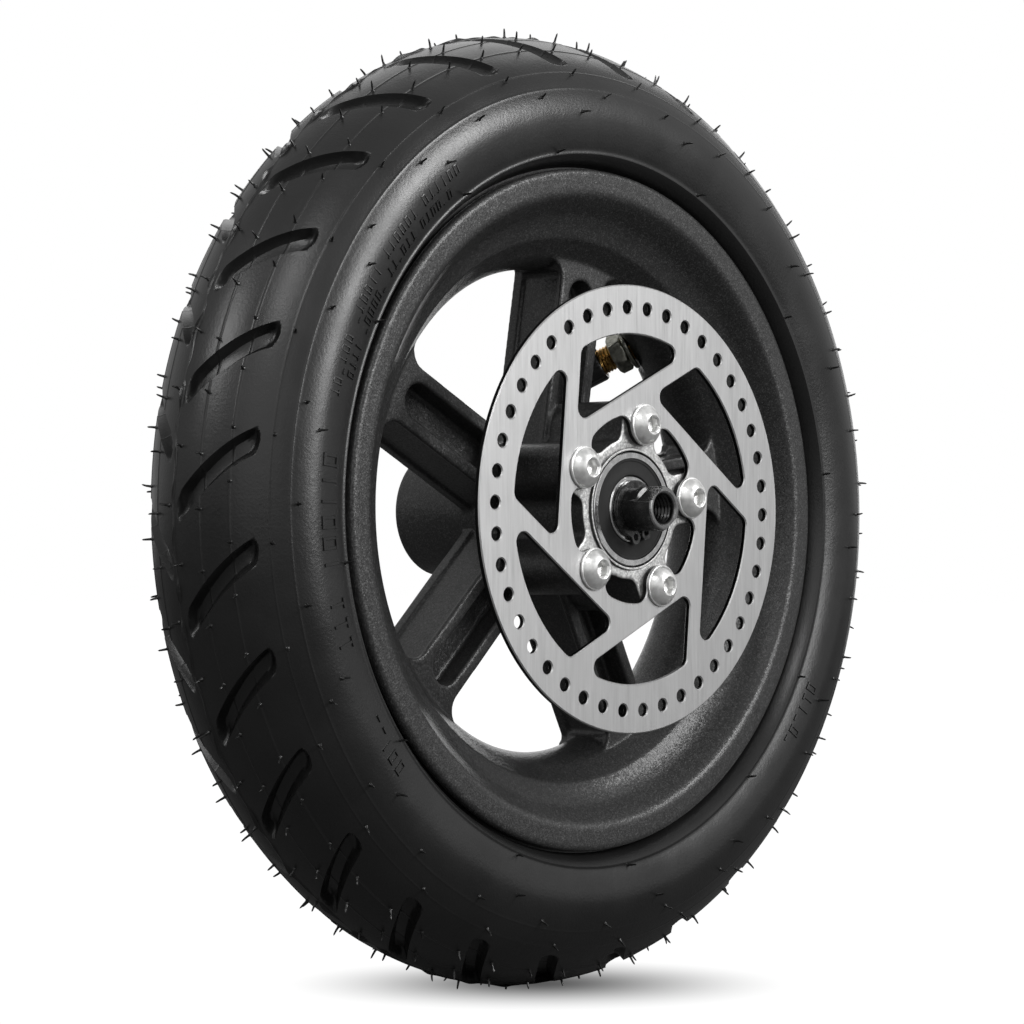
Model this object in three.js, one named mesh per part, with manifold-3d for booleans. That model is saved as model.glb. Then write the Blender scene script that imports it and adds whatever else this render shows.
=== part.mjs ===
// Pneumatic scooter wheel with a brake disc, turning on a fixed axle.
// Millimetres. The axle lies along Y, the brake disc faces -Y and +Z is up.
// The origin is the wheel's centre. Angles round the axle run from +X towards +Z.

import * as THREE from "three";
import { mergeVertices } from "three/addons/utils/BufferGeometryUtils.js";
import Module from "manifold-3d";

const wasm = await Module();
wasm.setup();

// ---------------------------------------------------------------- driving dimensions

// Tyre
const TYRE_RADIUS = 108.5;
const TYRE_HALF_WIDTH = 22.2;
const TYRE_WIDEST_RADIUS = 88;
const TYRE_CROWN_POWER = 1.8;
const TYRE_FOOT_HALF_WIDTH = 19.2;
const TYRE_CAVITY_CENTRE = 86.5;
const TYRE_CAVITY_RADIUS = 17.5;
const TYRE_BEAD_INNER = 11.5;
const TYRE_SEGMENTS = 56;
const GROOVES_PER_SIDE = 28;
const GROOVE_TIP_ANGLE = 172.6;
const GROOVE_SWEEP = 8.2;
const GROOVE_TIP_Y = 16.6;
const GROOVE_ROOT_Y = 1.2;
const GROOVE_WIDTH = 4.6;
const GROOVE_FLOOR_BELOW_CHORD = 0.5;

// Inner tube
const TUBE_GAP = 1.3;
const TUBE_WALL = 1.5;
const TUBE_SEGMENTS = 20;

// Wheel casting: rim, spokes and hub in one piece
const RIM_RADIUS = 77.1;
const RIM_HALF_WIDTH = 19.5;
const FLANGE_THICKNESS = 2.9;
const LIP_INNER_RADIUS = 71.5;
const BEAD_SEAT_RADIUS = 69.4;
const BEAD_SEAT_INNER_Y = 11.2;
const WELL_RADIUS = 60.8;
const WELL_HALF_WIDTH = 5.2;
const WINDOW_RADIUS = 55.6;
const WINDOW_HALF_WIDTH = 2.2;
const RIM_SEGMENTS = 40;
const SPOKES = 5;
const SPOKE_ANGLE = 8.4;
const SPOKE_HALF_WIDTH = 7;
const SPOKE_FRONT_Y = -6.5;
const SPOKE_BACK_Y = 9.5;
const SPOKE_WEB = 5;
const POCKET_HALF_WIDTH = 4;
const POCKET_OUTER_RADIUS = 54;
const POCKET_INNER_RADIUS = 21;
const HUB_RADIUS = 15.1;
const HUB_FAR_Y = 31.75;
const HUB_BORE_RADIUS = 12;
const BOSS_RADIUS = 14.35;
const BOSS_HEIGHT = 1.3;
const ARM_HALF_WIDTH = 5.8;

// Brake disc and its bolts
const DISC_FRONT_Y = -30.35;
const DISC_THICKNESS = 1.9;
const DISC_RADIUS = 50.2;
const DISC_SEGMENTS = 60;
const VENT_HOLES = 42;
const VENT_RADIUS = 1.45;
const VENT_CIRCLE = 45.1;
const VENT_ANGLE = 93.28;
const WINDOWS = 6;
const WINDOW_ANGLE = 55;
const WINDOW_OUTER_RADIUS = 39.2;
const WINDOW_NEAR_LINE = 24.8;
const WINDOW_FAR_LINE = 20.7;
const WINDOW_FILLET = 2.2;
const SCALLOP_RADIUS = 21.1;
const SCALLOP_FILLET = 3;
const LAND_NOSE_RADIUS = 4.6;
const BOLT_CIRCLE = 19.2;
const BOLT_HEAD_RADIUS = 4.7;
const BOLT_HEAD_HEIGHT = 2.75;
const BOLT_SHANK_RADIUS = 2.4;
const BOLT_LENGTH = 13;
const BOLT_SOCKET_FLATS = 3;
const BOLT_CLEARANCE = 0.2;

// Bearings: 10 x 26 x 8
const BEARING_RADIUS = 12.95;
const BEARING_BORE = 5.02;
const BEARING_WIDTH = 8;
const BEARING_SEAT_GAP = 0.15;
const DISC_SIDE_BEARING_Y = -25.45;
const FAR_SIDE_BEARING_Y = 27;
const INNER_RING_RADIUS = 7.4;
const OUTER_RING_SHOULDER = 10.7;
const SEAL_SEAT_RADIUS = 11.45;
const SEAL_SEAT_Y = 3;
const BALLS = 7;
const BALL_RADIUS = 2.381;
const BALL_CIRCLE = 9;
const INNER_GROOVE_RADIUS = 2.5;
const OUTER_GROOVE_RADIUS = 2.62;
const CAGE_HALF_THICKNESS = 0.9;
const RING_SEGMENTS = 24;

// Axle
const AXLE_RADIUS = 4.95;
const AXLE_HALF_LENGTH = 39;
const AXLE_CHAMFER = 0.4;
const AXLE_FLAT_DISTANCE = 4.05;
const AXLE_FLAT_LENGTH = 4.5;
const AXLE_FLAT_ANGLE = 126;
const AXLE_BORE_RADIUS = 3.4;
const AXLE_BORE_DEPTH = 20;
const CLIP_THICKNESS = 1;
const CLIP_GROOVE_RADIUS = 4.6;
const CLIP_OUTER_RADIUS = 6.45;
const CLIP_GAP_ANGLE = 44;
const CLIP_EAR_RADIUS = 1.6;
const CLIP_EAR_CIRCLE = 6.3;
const CLIP_HOLE_RADIUS = 0.75;
const CLIP_ANGLE = 276;
const SPACER_RADIUS = 7.2;
const SIDE_GAP = 0.1;

// Valve
const VALVE_ANGLE = 43.2;
const VALVE_WALL_RADIUS = 59.3;
const VALVE_WALL_Y = 8.9;
const VALVE_TILT = 50;
const VALVE_RADIUS = 3.25;
const VALVE_BORE = 2;
const VALVE_FOOT_RADIUS = 4.1;
const VALVE_FOOT_START = -9.2;
const VALVE_FOOT_THICKNESS = 1.4;
const VALVE_END = 16;
const VALVE_TURNED_GAP = 0.3;
const VALVE_WASHER_RADIUS = 5.3;
const VALVE_WASHER_THICKNESS = 0.9;
const VALVE_NUT_FLATS = 9;
const VALVE_NUT_THICKNESS = 3.8;
const VALVE_CAP_START = 8.3;
const VALVE_CAP_END = 18;
const VALVE_CAP_RADIUS = 4.5;
const VALVE_CORE_START = 8.5;
const VALVE_CORE_END = 14;
const VALVE_PIN_RADIUS = 0.6;

// ---------------------------------------------------------------- materials

function finish(color, roughness, metalness) {
  return new THREE.MeshStandardMaterial({ color, roughness, metalness });
}

const RUBBER = finish(0x1c1c1c, 0.55, 0);
const POWDER_COAT = finish(0x2b2b2d, 0.6, 0.3);
const STAINLESS = finish(0xb9b9b9, 0.35, 1);
const ZINC = finish(0xd4d4d2, 0.3, 1);
const BEARING_STEEL = finish(0xa9a9a9, 0.25, 1);
const BLACK_OXIDE = finish(0x202022, 0.4, 0.8);
const SEAL_RUBBER = finish(0x2a2a2a, 0.6, 0);
const TURNED_STEEL = finish(0x8d8d8d, 0.4, 1);
const BRASS = finish(0xb98a3e, 0.35, 1);
const NICKEL = finish(0x8f9192, 0.35, 1);
const CAP_PLASTIC = finish(0x121212, 0.5, 0);
const CAGE_STEEL = finish(0x9d9a90, 0.4, 1);

// ---------------------------------------------------------------- solids

const radians = THREE.MathUtils.degToRad;

// A closed geometry as a solid. Its faces are turned to point outwards.
function solid(geometry) {
  const bare = geometry.clone();
  bare.deleteAttribute("normal");
  bare.deleteAttribute("uv");
  const merged = mergeVertices(bare, 1e-4);
  const vertProperties = merged.attributes.position.array;
  const triVerts = new Uint32Array(merged.index.array);
  const made = new wasm.Manifold(new wasm.Mesh({ numProp: 3, vertProperties, triVerts }));
  if (made.volume() > 0) return made;
  const flipped = triVerts.slice().reverse();
  return new wasm.Manifold(new wasm.Mesh({ numProp: 3, vertProperties, triVerts: flipped }));
}

function cut(base, tools) {
  return tools.reduce((rest, tool) => rest.subtract(tool), base);
}

function join(parts) {
  return parts.reduce((whole, part) => whole.add(part));
}

function meshOf(name, made, material) {
  const { vertProperties, triVerts } = made.getMesh();
  const geometry = new THREE.BufferGeometry();
  geometry.setAttribute("position", new THREE.BufferAttribute(vertProperties, 3));
  geometry.setIndex(new THREE.BufferAttribute(triVerts, 1));
  geometry.computeVertexNormals();
  const mesh = new THREE.Mesh(geometry, material);
  mesh.name = name;
  return mesh;
}

// A point at a radius and an angle round the axle, as (x, z).
function polar(radius, degrees) {
  const angle = radians(degrees);
  return new THREE.Vector2(radius * Math.cos(angle), radius * Math.sin(angle));
}

// Points along an arc, both ends included.
function arc(centre, radius, from, to, steps) {
  const points = [];
  for (let i = 0; i <= steps; i++) {
    points.push(polar(radius, from + ((to - from) * i) / steps).add(centre));
  }
  return points;
}

const AXIS = new THREE.Vector2(0, 0);

function circle(radius, segments, centre = AXIS, start = 0) {
  const points = arc(centre, radius, start, start + 360, segments);
  points.pop();
  return points;
}

// A profile of (radius, y) points turned round the axle. It ends on the axis or closes on itself.
function turned(profile, segments) {
  const onAxis = profile[0][0] === 0;
  const points = profile.map(([radius, y]) => new THREE.Vector2(radius, y));
  if (!onAxis) points.push(points[0].clone());
  return solid(new THREE.LatheGeometry(points, segments));
}

// An outline of (x, z) points with holes, from y = front to y = front + thickness.
function plate(outline, front, thickness, holes = []) {
  const shape = new THREE.Shape(outline);
  for (const hole of holes) shape.holes.push(new THREE.Path(hole));
  const geometry = new THREE.ExtrudeGeometry(shape, { depth: thickness, bevelEnabled: false });
  geometry.rotateX(Math.PI / 2);
  geometry.translate(0, front + thickness, 0);
  return solid(geometry);
}

// Turns a solid round the axle, from +X towards +Z.
function turnBy(made, degrees) {
  return made.rotate([0, -degrees, 0]);
}

function around(count, start, make) {
  return Array.from({ length: count }, (_, i) => make(start + (i * 360) / count, i));
}

// ---------------------------------------------------------------- tyre and inner tube

// The half-width of the tyre's crown at a radius above its widest line.
function crownHalfWidth(radius) {
  const height = (radius - TYRE_WIDEST_RADIUS) / (TYRE_RADIUS - TYRE_WIDEST_RADIUS);
  return TYRE_HALF_WIDTH * (1 - height ** TYRE_CROWN_POWER) ** (1 / TYRE_CROWN_POWER);
}

// One side of the tyre's outer face, from beside the rim's edge up to the crown.
function tyreSide() {
  const foot = RIM_RADIUS + 0.3;
  const side = [];
  const wallSteps = 2;
  for (let i = 0; i < wallSteps; i++) {
    const radius = foot + ((TYRE_WIDEST_RADIUS - foot) * i) / wallSteps;
    const drop = (TYRE_WIDEST_RADIUS - radius) / (TYRE_WIDEST_RADIUS - foot);
    const width = TYRE_HALF_WIDTH - (TYRE_HALF_WIDTH - TYRE_FOOT_HALF_WIDTH) * drop ** 2;
    side.push([radius, width]);
  }
  const crownSteps = 4;
  for (let i = 0; i < crownSteps; i++) {
    const rise = Math.sin(((Math.PI / 2) * i) / crownSteps);
    const radius = TYRE_WIDEST_RADIUS + (TYRE_RADIUS - TYRE_WIDEST_RADIUS) * rise;
    side.push([radius, crownHalfWidth(radius)]);
  }
  return side;
}

// Half of a cavity's round section, from its foot at a given half-width up to its crown.
function cavitySide(radius, footHalfWidth, steps) {
  const start = Math.asin(footHalfWidth / radius);
  const points = [];
  for (let i = 0; i < steps; i++) {
    const angle = start + ((Math.PI - start) * i) / steps;
    points.push([TYRE_CAVITY_CENTRE - radius * Math.cos(angle), radius * Math.sin(angle)]);
  }
  return points;
}

function mirrored(side) {
  return side.map(([radius, y]) => [radius, -y]).reverse();
}

function tyreBody() {
  const side = tyreSide();
  const cavity = cavitySide(TYRE_CAVITY_RADIUS, TYRE_BEAD_INNER, 4);
  const seat = BEAD_SEAT_RADIUS + 0.35;
  const face = RIM_HALF_WIDTH - FLANGE_THICKNESS - 0.25;
  const bead = [
    [seat, TYRE_BEAD_INNER],
    [seat, face],
    [RIM_RADIUS + 0.3, face],
  ];
  const crown = [[TYRE_RADIUS, 0]];
  const cavityCrown = [[TYRE_CAVITY_CENTRE + TYRE_CAVITY_RADIUS, 0]];
  const half = [...cavity.slice().reverse(), ...bead, ...side];
  return turned([...half, ...crown, ...mirrored(half), ...cavityCrown], TYRE_SEGMENTS);
}

// A point on the tyre's crown at a distance from its middle plane and an angle.
function crownPoint(y, degrees) {
  const share = Math.abs(y) / TYRE_HALF_WIDTH;
  const height = (1 - share ** TYRE_CROWN_POWER) ** (1 / TYRE_CROWN_POWER);
  const radius = TYRE_WIDEST_RADIUS + (TYRE_RADIUS - TYRE_WIDEST_RADIUS) * height;
  const at = polar(radius, degrees);
  return new THREE.Vector3(at.x, y, at.y);
}

// A slanting bar, which cuts one tread groove from its root to its tip.
function grooveCutter(root, tip) {
  const height = 8;
  const bar = new THREE.BoxGeometry(root.distanceTo(tip), GROOVE_WIDTH, height);
  bar.translate(0, 0, height / 2 - GROOVE_FLOOR_BELOW_CHORD);
  const middle = root.clone().add(tip).multiplyScalar(0.5);
  const along = tip.clone().sub(root).normalize();
  const outward = new THREE.Vector3(middle.x, 0, middle.z).normalize();
  const across = outward.clone().cross(along).normalize();
  const up = along.clone().cross(across);
  bar.applyMatrix4(new THREE.Matrix4().makeBasis(along, across, up).setPosition(middle));
  return solid(bar);
}

function treadGrooves() {
  const halfPitch = 180 / GROOVES_PER_SIDE;
  const sides = [
    { sign: -1, offset: 0 },
    { sign: 1, offset: halfPitch },
  ];
  return sides.flatMap(({ sign, offset }) =>
    around(GROOVES_PER_SIDE, GROOVE_TIP_ANGLE + offset, (tipAngle) => {
      const root = crownPoint(sign * GROOVE_ROOT_Y, tipAngle + GROOVE_SWEEP);
      const tip = crownPoint(sign * GROOVE_TIP_Y, tipAngle);
      return grooveCutter(root, tip);
    }),
  );
}

function tyre() {
  return meshOf("tyre", cut(tyreBody(), treadGrooves()), RUBBER);
}

// The tube's section: round inside the tyre, and narrowing into the rim's well.
function tubeSection(inset) {
  const radius = TYRE_CAVITY_RADIUS - TUBE_GAP - inset;
  const neck = 6.6 - inset;
  const foot = WELL_RADIUS + TUBE_GAP + inset;
  const round = cavitySide(radius, neck, 4);
  const half = [[foot, WELL_HALF_WIDTH - 1.2 - inset], [foot + 3, neck - 0.2], ...round];
  const crown = [TYRE_CAVITY_CENTRE + radius, 0];
  return [...half, crown, ...mirrored(half)];
}

function innerTube() {
  const skin = turned(tubeSection(0), TUBE_SEGMENTS);
  const air = turned(tubeSection(TUBE_WALL), TUBE_SEGMENTS);
  const pocketStart = VALVE_FOOT_START - 4;
  const pocket = valveRod(VALVE_FOOT_RADIUS + 0.6, pocketStart, 0, 12);
  return meshOf("inner_tube", cut(skin, [air, pocket]), RUBBER);
}

// ---------------------------------------------------------------- wheel casting

// The rim's window side, from the rounded window wall over the hump to the lip.
function rimInnerSide() {
  return [
    [WINDOW_RADIUS, WINDOW_HALF_WIDTH],
    [56.4, 4.9],
    [57.5, 7.3],
    [62, 11.3],
    [64.8, 12.7],
    [67, 14.4],
    [69.6, 17.6],
    [LIP_INNER_RADIUS - 0.6, RIM_HALF_WIDTH - 0.4],
    [LIP_INNER_RADIUS + 0.4, RIM_HALF_WIDTH],
  ];
}

// The rim's tyre side, from the flange's edge down to the well.
function rimOuterSide() {
  const flangeInnerY = RIM_HALF_WIDTH - FLANGE_THICKNESS;
  return [
    [RIM_RADIUS - 0.7, RIM_HALF_WIDTH],
    [RIM_RADIUS, RIM_HALF_WIDTH - 0.8],
    [RIM_RADIUS, flangeInnerY + 0.3],
    [BEAD_SEAT_RADIUS, flangeInnerY],
    [BEAD_SEAT_RADIUS, BEAD_SEAT_INNER_Y],
    [WELL_RADIUS, WELL_HALF_WIDTH],
  ];
}

function rim() {
  const half = [...rimInnerSide(), ...rimOuterSide()];
  return turned([...half, ...mirrored(half)], RIM_SEGMENTS);
}

const STAR_FACE_Y = DISC_FRONT_Y + DISC_THICKNESS + 0.1;
const BOSS_FACE_Y = STAR_FACE_Y - BOSS_HEIGHT;
const BEARING_SEAT_RADIUS = BEARING_RADIUS + BEARING_SEAT_GAP;

function hubBarrel() {
  const seatDepth = BEARING_WIDTH / 2 + SIDE_GAP;
  const nearSeatEnd = DISC_SIDE_BEARING_Y + seatDepth;
  const farSeatEnd = FAR_SIDE_BEARING_Y - seatDepth;
  const profile = [
    [BEARING_SEAT_RADIUS, BOSS_FACE_Y],
    [BOSS_RADIUS, BOSS_FACE_Y],
    [BOSS_RADIUS, STAR_FACE_Y],
    [HUB_RADIUS, STAR_FACE_Y],
    [HUB_RADIUS, HUB_FAR_Y],
    [BEARING_SEAT_RADIUS, HUB_FAR_Y],
    [BEARING_SEAT_RADIUS, farSeatEnd],
    [HUB_BORE_RADIUS, farSeatEnd],
    [HUB_BORE_RADIUS, nearSeatEnd],
    [BEARING_SEAT_RADIUS, nearSeatEnd],
  ];
  return turned(profile, RIM_SEGMENTS);
}

// A spoke along +X that runs from inside the hub's wall into the rim's wall.
function spoke() {
  const start = HUB_RADIUS - 1.5;
  const flareAngle = 11.5;
  const side = [
    new THREE.Vector2(start, SPOKE_HALF_WIDTH),
    new THREE.Vector2(WINDOW_RADIUS - 3.6, SPOKE_HALF_WIDTH),
    new THREE.Vector2(WINDOW_RADIUS, SPOKE_HALF_WIDTH + 1.3),
  ];
  const lowerSide = side.map((point) => new THREE.Vector2(point.x, -point.y));
  const end = arc(AXIS, WELL_RADIUS - 0.5, -flareAngle, flareAngle, 4);
  const outline = [...lowerSide, ...end, ...side.reverse()];
  return plate(outline, SPOKE_FRONT_Y, SPOKE_BACK_Y - SPOKE_FRONT_Y);
}

// A pocket in a spoke's face, with rounded ends.
function spokePocket(front, depth) {
  const radius = POCKET_HALF_WIDTH;
  const outer = new THREE.Vector2(POCKET_OUTER_RADIUS - radius, 0);
  const inner = new THREE.Vector2(POCKET_INNER_RADIUS + radius, 0);
  const outline = [...arc(outer, radius, -90, 90, 4), ...arc(inner, radius, 90, 270, 4)];
  return plate(outline, front, depth);
}

// A post that carries one disc bolt, from the spoke's face to the disc's back.
function boltArm() {
  const start = HUB_RADIUS - 1.5;
  const end = new THREE.Vector2(BOLT_CIRCLE, 0);
  const outline = [
    new THREE.Vector2(start, -ARM_HALF_WIDTH),
    ...arc(end, ARM_HALF_WIDTH, -90, 90, 6),
    new THREE.Vector2(start, ARM_HALF_WIDTH),
  ];
  return plate(outline, STAR_FACE_Y, SPOKE_FRONT_Y + 1 - STAR_FACE_Y);
}

function boltHole() {
  const radius = BOLT_SHANK_RADIUS + BOLT_CLEARANCE;
  const centre = new THREE.Vector2(BOLT_CIRCLE, 0);
  return plate(circle(radius, 10, centre), STAR_FACE_Y - 1, BOLT_LENGTH + 1);
}

function wheelCasting() {
  const pocketDepth = (SPOKE_BACK_Y - SPOKE_FRONT_Y - SPOKE_WEB) / 2;
  const frontPocket = spokePocket(SPOKE_FRONT_Y - 1, pocketDepth + 1);
  const backPocket = spokePocket(SPOKE_BACK_Y - pocketDepth, pocketDepth + 1);
  const spokes = around(SPOKES, 0, (angle) => turnBy(spoke(), angle));
  const pockets = around(SPOKES, 0, (angle) => turnBy(frontPocket.add(backPocket), angle));
  const arms = around(SPOKES, 0, (angle) => turnBy(boltArm(), angle));
  const holes = around(SPOKES, 0, (angle) => turnBy(boltHole(), angle));
  const pocketedSpokes = cut(join(spokes), pockets);
  const hubSpace = turned(
    [
      [0, BOSS_FACE_Y],
      [HUB_RADIUS - 0.5, BOSS_FACE_Y],
      [HUB_RADIUS - 0.5, HUB_FAR_Y],
      [0, HUB_FAR_Y],
    ],
    RIM_SEGMENTS,
  );
  const outside = cut(join([pocketedSpokes, ...arms]), [hubSpace]);
  const whole = cut(join([rim(), hubBarrel(), outside]), holes);
  const placed = turnBy(whole, SPOKE_ANGLE);
  const valveHole = valveRod(VALVE_RADIUS + VALVE_TURNED_GAP, VALVE_FOOT_START, 3, 16);
  return meshOf("wheel_casting", cut(placed, [valveHole]), POWDER_COAT);
}

// ---------------------------------------------------------------- brake disc

// Where the two lines that cut a corner, each given by its normal and distance, meet.
function lineCorner(normalA, distanceA, normalB, distanceB) {
  const scale = normalA.cross(normalB);
  return new THREE.Vector2(
    (distanceA * normalB.y - distanceB * normalA.y) / scale,
    (normalA.x * distanceB - normalB.x * distanceA) / scale,
  );
}

// The centre of a fillet between a line and the window's outer circle.
function rimCorner(normalAngle, lineDistance, circleRadius) {
  const along = Math.sqrt(circleRadius ** 2 - lineDistance ** 2);
  return polar(lineDistance, normalAngle).add(polar(along, normalAngle - 90));
}

// One window: bounded by two straight arms and the friction ring, with filleted corners.
function discWindow(nearNormal) {
  const farNormal = nearNormal + 60;
  const inner = WINDOW_OUTER_RADIUS - WINDOW_FILLET;
  const nearLine = WINDOW_NEAR_LINE + WINDOW_FILLET;
  const farLine = WINDOW_FAR_LINE - WINDOW_FILLET;
  const corner = lineCorner(polar(1, nearNormal), nearLine, polar(1, farNormal), farLine);
  const trailing = rimCorner(nearNormal, nearLine, inner);
  const leading = rimCorner(farNormal, farLine, inner);
  const trailingAngle = THREE.MathUtils.radToDeg(trailing.angle());
  const leadingAngle = THREE.MathUtils.radToDeg(leading.angle());
  const sweep = (leadingAngle - trailingAngle + 360) % 360;
  return [
    ...arc(trailing, WINDOW_FILLET, nearNormal - 180, trailingEnd(nearNormal, trailingAngle), 3),
    ...arc(AXIS, WINDOW_OUTER_RADIUS, trailingAngle, trailingAngle + sweep, 5).slice(1, -1),
    ...arc(leading, WINDOW_FILLET, trailingAngle + sweep, farNormal, 3),
    ...arc(corner, WINDOW_FILLET, farNormal, nearNormal + 180, 3),
  ];
}

// The trailing fillet's last angle, counted on from its first one.
function trailingEnd(nearNormal, trailingAngle) {
  const first = nearNormal - 180;
  return first + ((trailingAngle - first + 720) % 360);
}

// The disc's inner edge: a nose round each bolt, and a scallop between two noses.
function discInnerEdge() {
  const reach = SCALLOP_RADIUS - SCALLOP_FILLET;
  const apart = LAND_NOSE_RADIUS + SCALLOP_FILLET;
  const x = (reach ** 2 + BOLT_CIRCLE ** 2 - apart ** 2) / (2 * BOLT_CIRCLE);
  const z = Math.sqrt(reach ** 2 - x ** 2);
  const filletAngle = THREE.MathUtils.radToDeg(Math.atan2(z, x));
  const noseAngle = THREE.MathUtils.radToDeg(Math.atan2(z, x - BOLT_CIRCLE));
  const pitch = 360 / SPOKES;
  return around(SPOKES, SPOKE_ANGLE, (angle) => {
    const bolt = polar(BOLT_CIRCLE, angle);
    const fillet = polar(reach, angle + filletAngle);
    const nextFillet = polar(reach, angle + pitch - filletAngle);
    const from = angle + filletAngle;
    const to = angle + pitch - filletAngle;
    return [
      ...arc(bolt, LAND_NOSE_RADIUS, angle + 360 - noseAngle, angle + noseAngle, 6).slice(1, -1),
      ...arc(fillet, SCALLOP_FILLET, angle + noseAngle + 180, from + 360, 3),
      ...arc(AXIS, SCALLOP_RADIUS, from, to, 3).slice(1, -1),
      ...arc(nextFillet, SCALLOP_FILLET, to, to + (from + 180 - angle - noseAngle), 3),
    ];
  }).flat();
}

function brakeDisc() {
  const outline = circle(DISC_RADIUS, DISC_SEGMENTS, AXIS, VENT_ANGLE);
  const vents = around(VENT_HOLES, VENT_ANGLE, (angle) =>
    circle(VENT_RADIUS, 6, polar(VENT_CIRCLE, angle), angle),
  );
  const boltHoles = around(SPOKES, SPOKE_ANGLE, (angle) =>
    circle(BOLT_SHANK_RADIUS + BOLT_CLEARANCE, 10, polar(BOLT_CIRCLE, angle), angle),
  );
  const windows = around(WINDOWS, WINDOW_ANGLE, discWindow);
  const holes = [discInnerEdge(), ...vents, ...boltHoles, ...windows];
  return meshOf("brake_disc", plate(outline, DISC_FRONT_Y, DISC_THICKNESS, holes), STAINLESS);
}

// A button-head screw with a hexagon socket, placed on the bolt circle.
function discBolt(angle, index) {
  const underHead = DISC_FRONT_Y - 0.05;
  const top = underHead - BOLT_HEAD_HEIGHT;
  const end = underHead + BOLT_LENGTH;
  const profile = [
    [0, top],
    [2.3, top],
    [3.6, top + 0.6],
    [BOLT_HEAD_RADIUS - 0.2, top + 1.7],
    [BOLT_HEAD_RADIUS, underHead - 0.3],
    [BOLT_HEAD_RADIUS, underHead],
    [BOLT_SHANK_RADIUS, underHead],
    [BOLT_SHANK_RADIUS, end - 0.5],
    [BOLT_SHANK_RADIUS - 0.5, end],
    [0, end],
  ];
  const socketRadius = BOLT_SOCKET_FLATS / Math.sqrt(3);
  const socket = plate(circle(socketRadius, 6), top - 1, 3);
  const bolt = cut(turned(profile, 14), [socket]);
  const mesh = meshOf("disc_bolt_" + (index + 1), bolt, ZINC);
  const at = polar(BOLT_CIRCLE, angle);
  mesh.position.set(at.x, 0, at.y);
  return mesh;
}

// ---------------------------------------------------------------- bearings

// One side of a ball groove's section, seen from the ball circle.
function grooveProfile(grooveRadius, shoulderRadius, outward) {
  const shoulder = Math.abs(shoulderRadius - BALL_CIRCLE);
  const halfWidth = Math.sqrt(grooveRadius ** 2 - shoulder ** 2);
  const steps = 4;
  const points = [];
  for (let i = 0; i <= steps; i++) {
    const y = halfWidth * ((2 * i) / steps - 1);
    points.push([BALL_CIRCLE + outward * Math.sqrt(grooveRadius ** 2 - y ** 2), y]);
  }
  return points;
}

function outerRing() {
  const half = BEARING_WIDTH / 2;
  return turned(
    [
      [BEARING_RADIUS, half],
      [BEARING_RADIUS, -half],
      [SEAL_SEAT_RADIUS, -half],
      [SEAL_SEAT_RADIUS, -SEAL_SEAT_Y],
      [OUTER_RING_SHOULDER, -SEAL_SEAT_Y],
      ...grooveProfile(OUTER_GROOVE_RADIUS, OUTER_RING_SHOULDER, 1),
      [OUTER_RING_SHOULDER, SEAL_SEAT_Y],
      [SEAL_SEAT_RADIUS, SEAL_SEAT_Y],
      [SEAL_SEAT_RADIUS, half],
    ],
    RING_SEGMENTS,
  );
}

function innerRing() {
  const half = BEARING_WIDTH / 2;
  return turned(
    [
      [BEARING_BORE, half],
      [BEARING_BORE, -half],
      [INNER_RING_RADIUS, -half],
      ...grooveProfile(INNER_GROOVE_RADIUS, INNER_RING_RADIUS, -1),
      [INNER_RING_RADIUS, half],
    ],
    RING_SEGMENTS,
  );
}

// A rubber seal in the outer ring, clear of the inner ring.
function seal(outerY, innerY) {
  const inner = INNER_RING_RADIUS + 0.2;
  const outer = SEAL_SEAT_RADIUS - 0.1;
  return turned(
    [
      [inner, innerY],
      [outer, innerY],
      [outer, outerY],
      [inner, outerY],
    ],
    RING_SEGMENTS,
  );
}

// A crown cage: a ring with a round seat for each ball, open on one side.
function cage() {
  const inner = BALL_CIRCLE - CAGE_HALF_THICKNESS;
  const outer = BALL_CIRCLE + CAGE_HALF_THICKNESS;
  const ring = turned(
    [
      [inner, -1.4],
      [outer, -1.4],
      [outer, 2.9],
      [inner, 2.9],
    ],
    RING_SEGMENTS,
  );
  const seats = around(BALLS, 0, (angle) => {
    const at = polar(BALL_CIRCLE, angle);
    return solid(new THREE.SphereGeometry(BALL_RADIUS + 0.3, 6, 4).translate(at.x, 0, at.y));
  });
  return cut(ring, seats);
}

// A bearing at its place along the axle. Its outer side is away from the wheel's centre.
function bearing(side, y, outward) {
  const group = new THREE.Group();
  group.position.y = y;
  const sealOuterY = outward * (BEARING_WIDTH / 2 - 0.15);
  const sealInnerY = outward * (SEAL_SEAT_Y + 0.1);
  group.add(meshOf("bearing_outer_ring_" + side, outerRing(), BEARING_STEEL));
  group.add(meshOf("bearing_inner_ring_" + side, innerRing(), BEARING_STEEL));
  group.add(meshOf("bearing_cage_" + side, cage(), CAGE_STEEL));
  group.add(meshOf("bearing_outer_seal_" + side, seal(sealOuterY, sealInnerY), SEAL_RUBBER));
  group.add(meshOf("bearing_inner_seal_" + side, seal(-sealOuterY, -sealInnerY), SEAL_RUBBER));
  around(BALLS, 0, (angle, index) => {
    const at = polar(BALL_CIRCLE, angle);
    const sphere = solid(new THREE.SphereGeometry(BALL_RADIUS, 6, 5));
    const ball = meshOf("ball_" + (index + 1) + "_" + side, sphere, BEARING_STEEL);
    ball.position.set(at.x, 0, at.y);
    group.add(ball);
  });
  return group;
}

// ---------------------------------------------------------------- axle

const NEAR_CLIP_Y = DISC_SIDE_BEARING_Y - BEARING_WIDTH / 2 - SIDE_GAP - CLIP_THICKNESS;
const FAR_CLIP_Y = FAR_SIDE_BEARING_Y + BEARING_WIDTH / 2 + SIDE_GAP;

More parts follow.
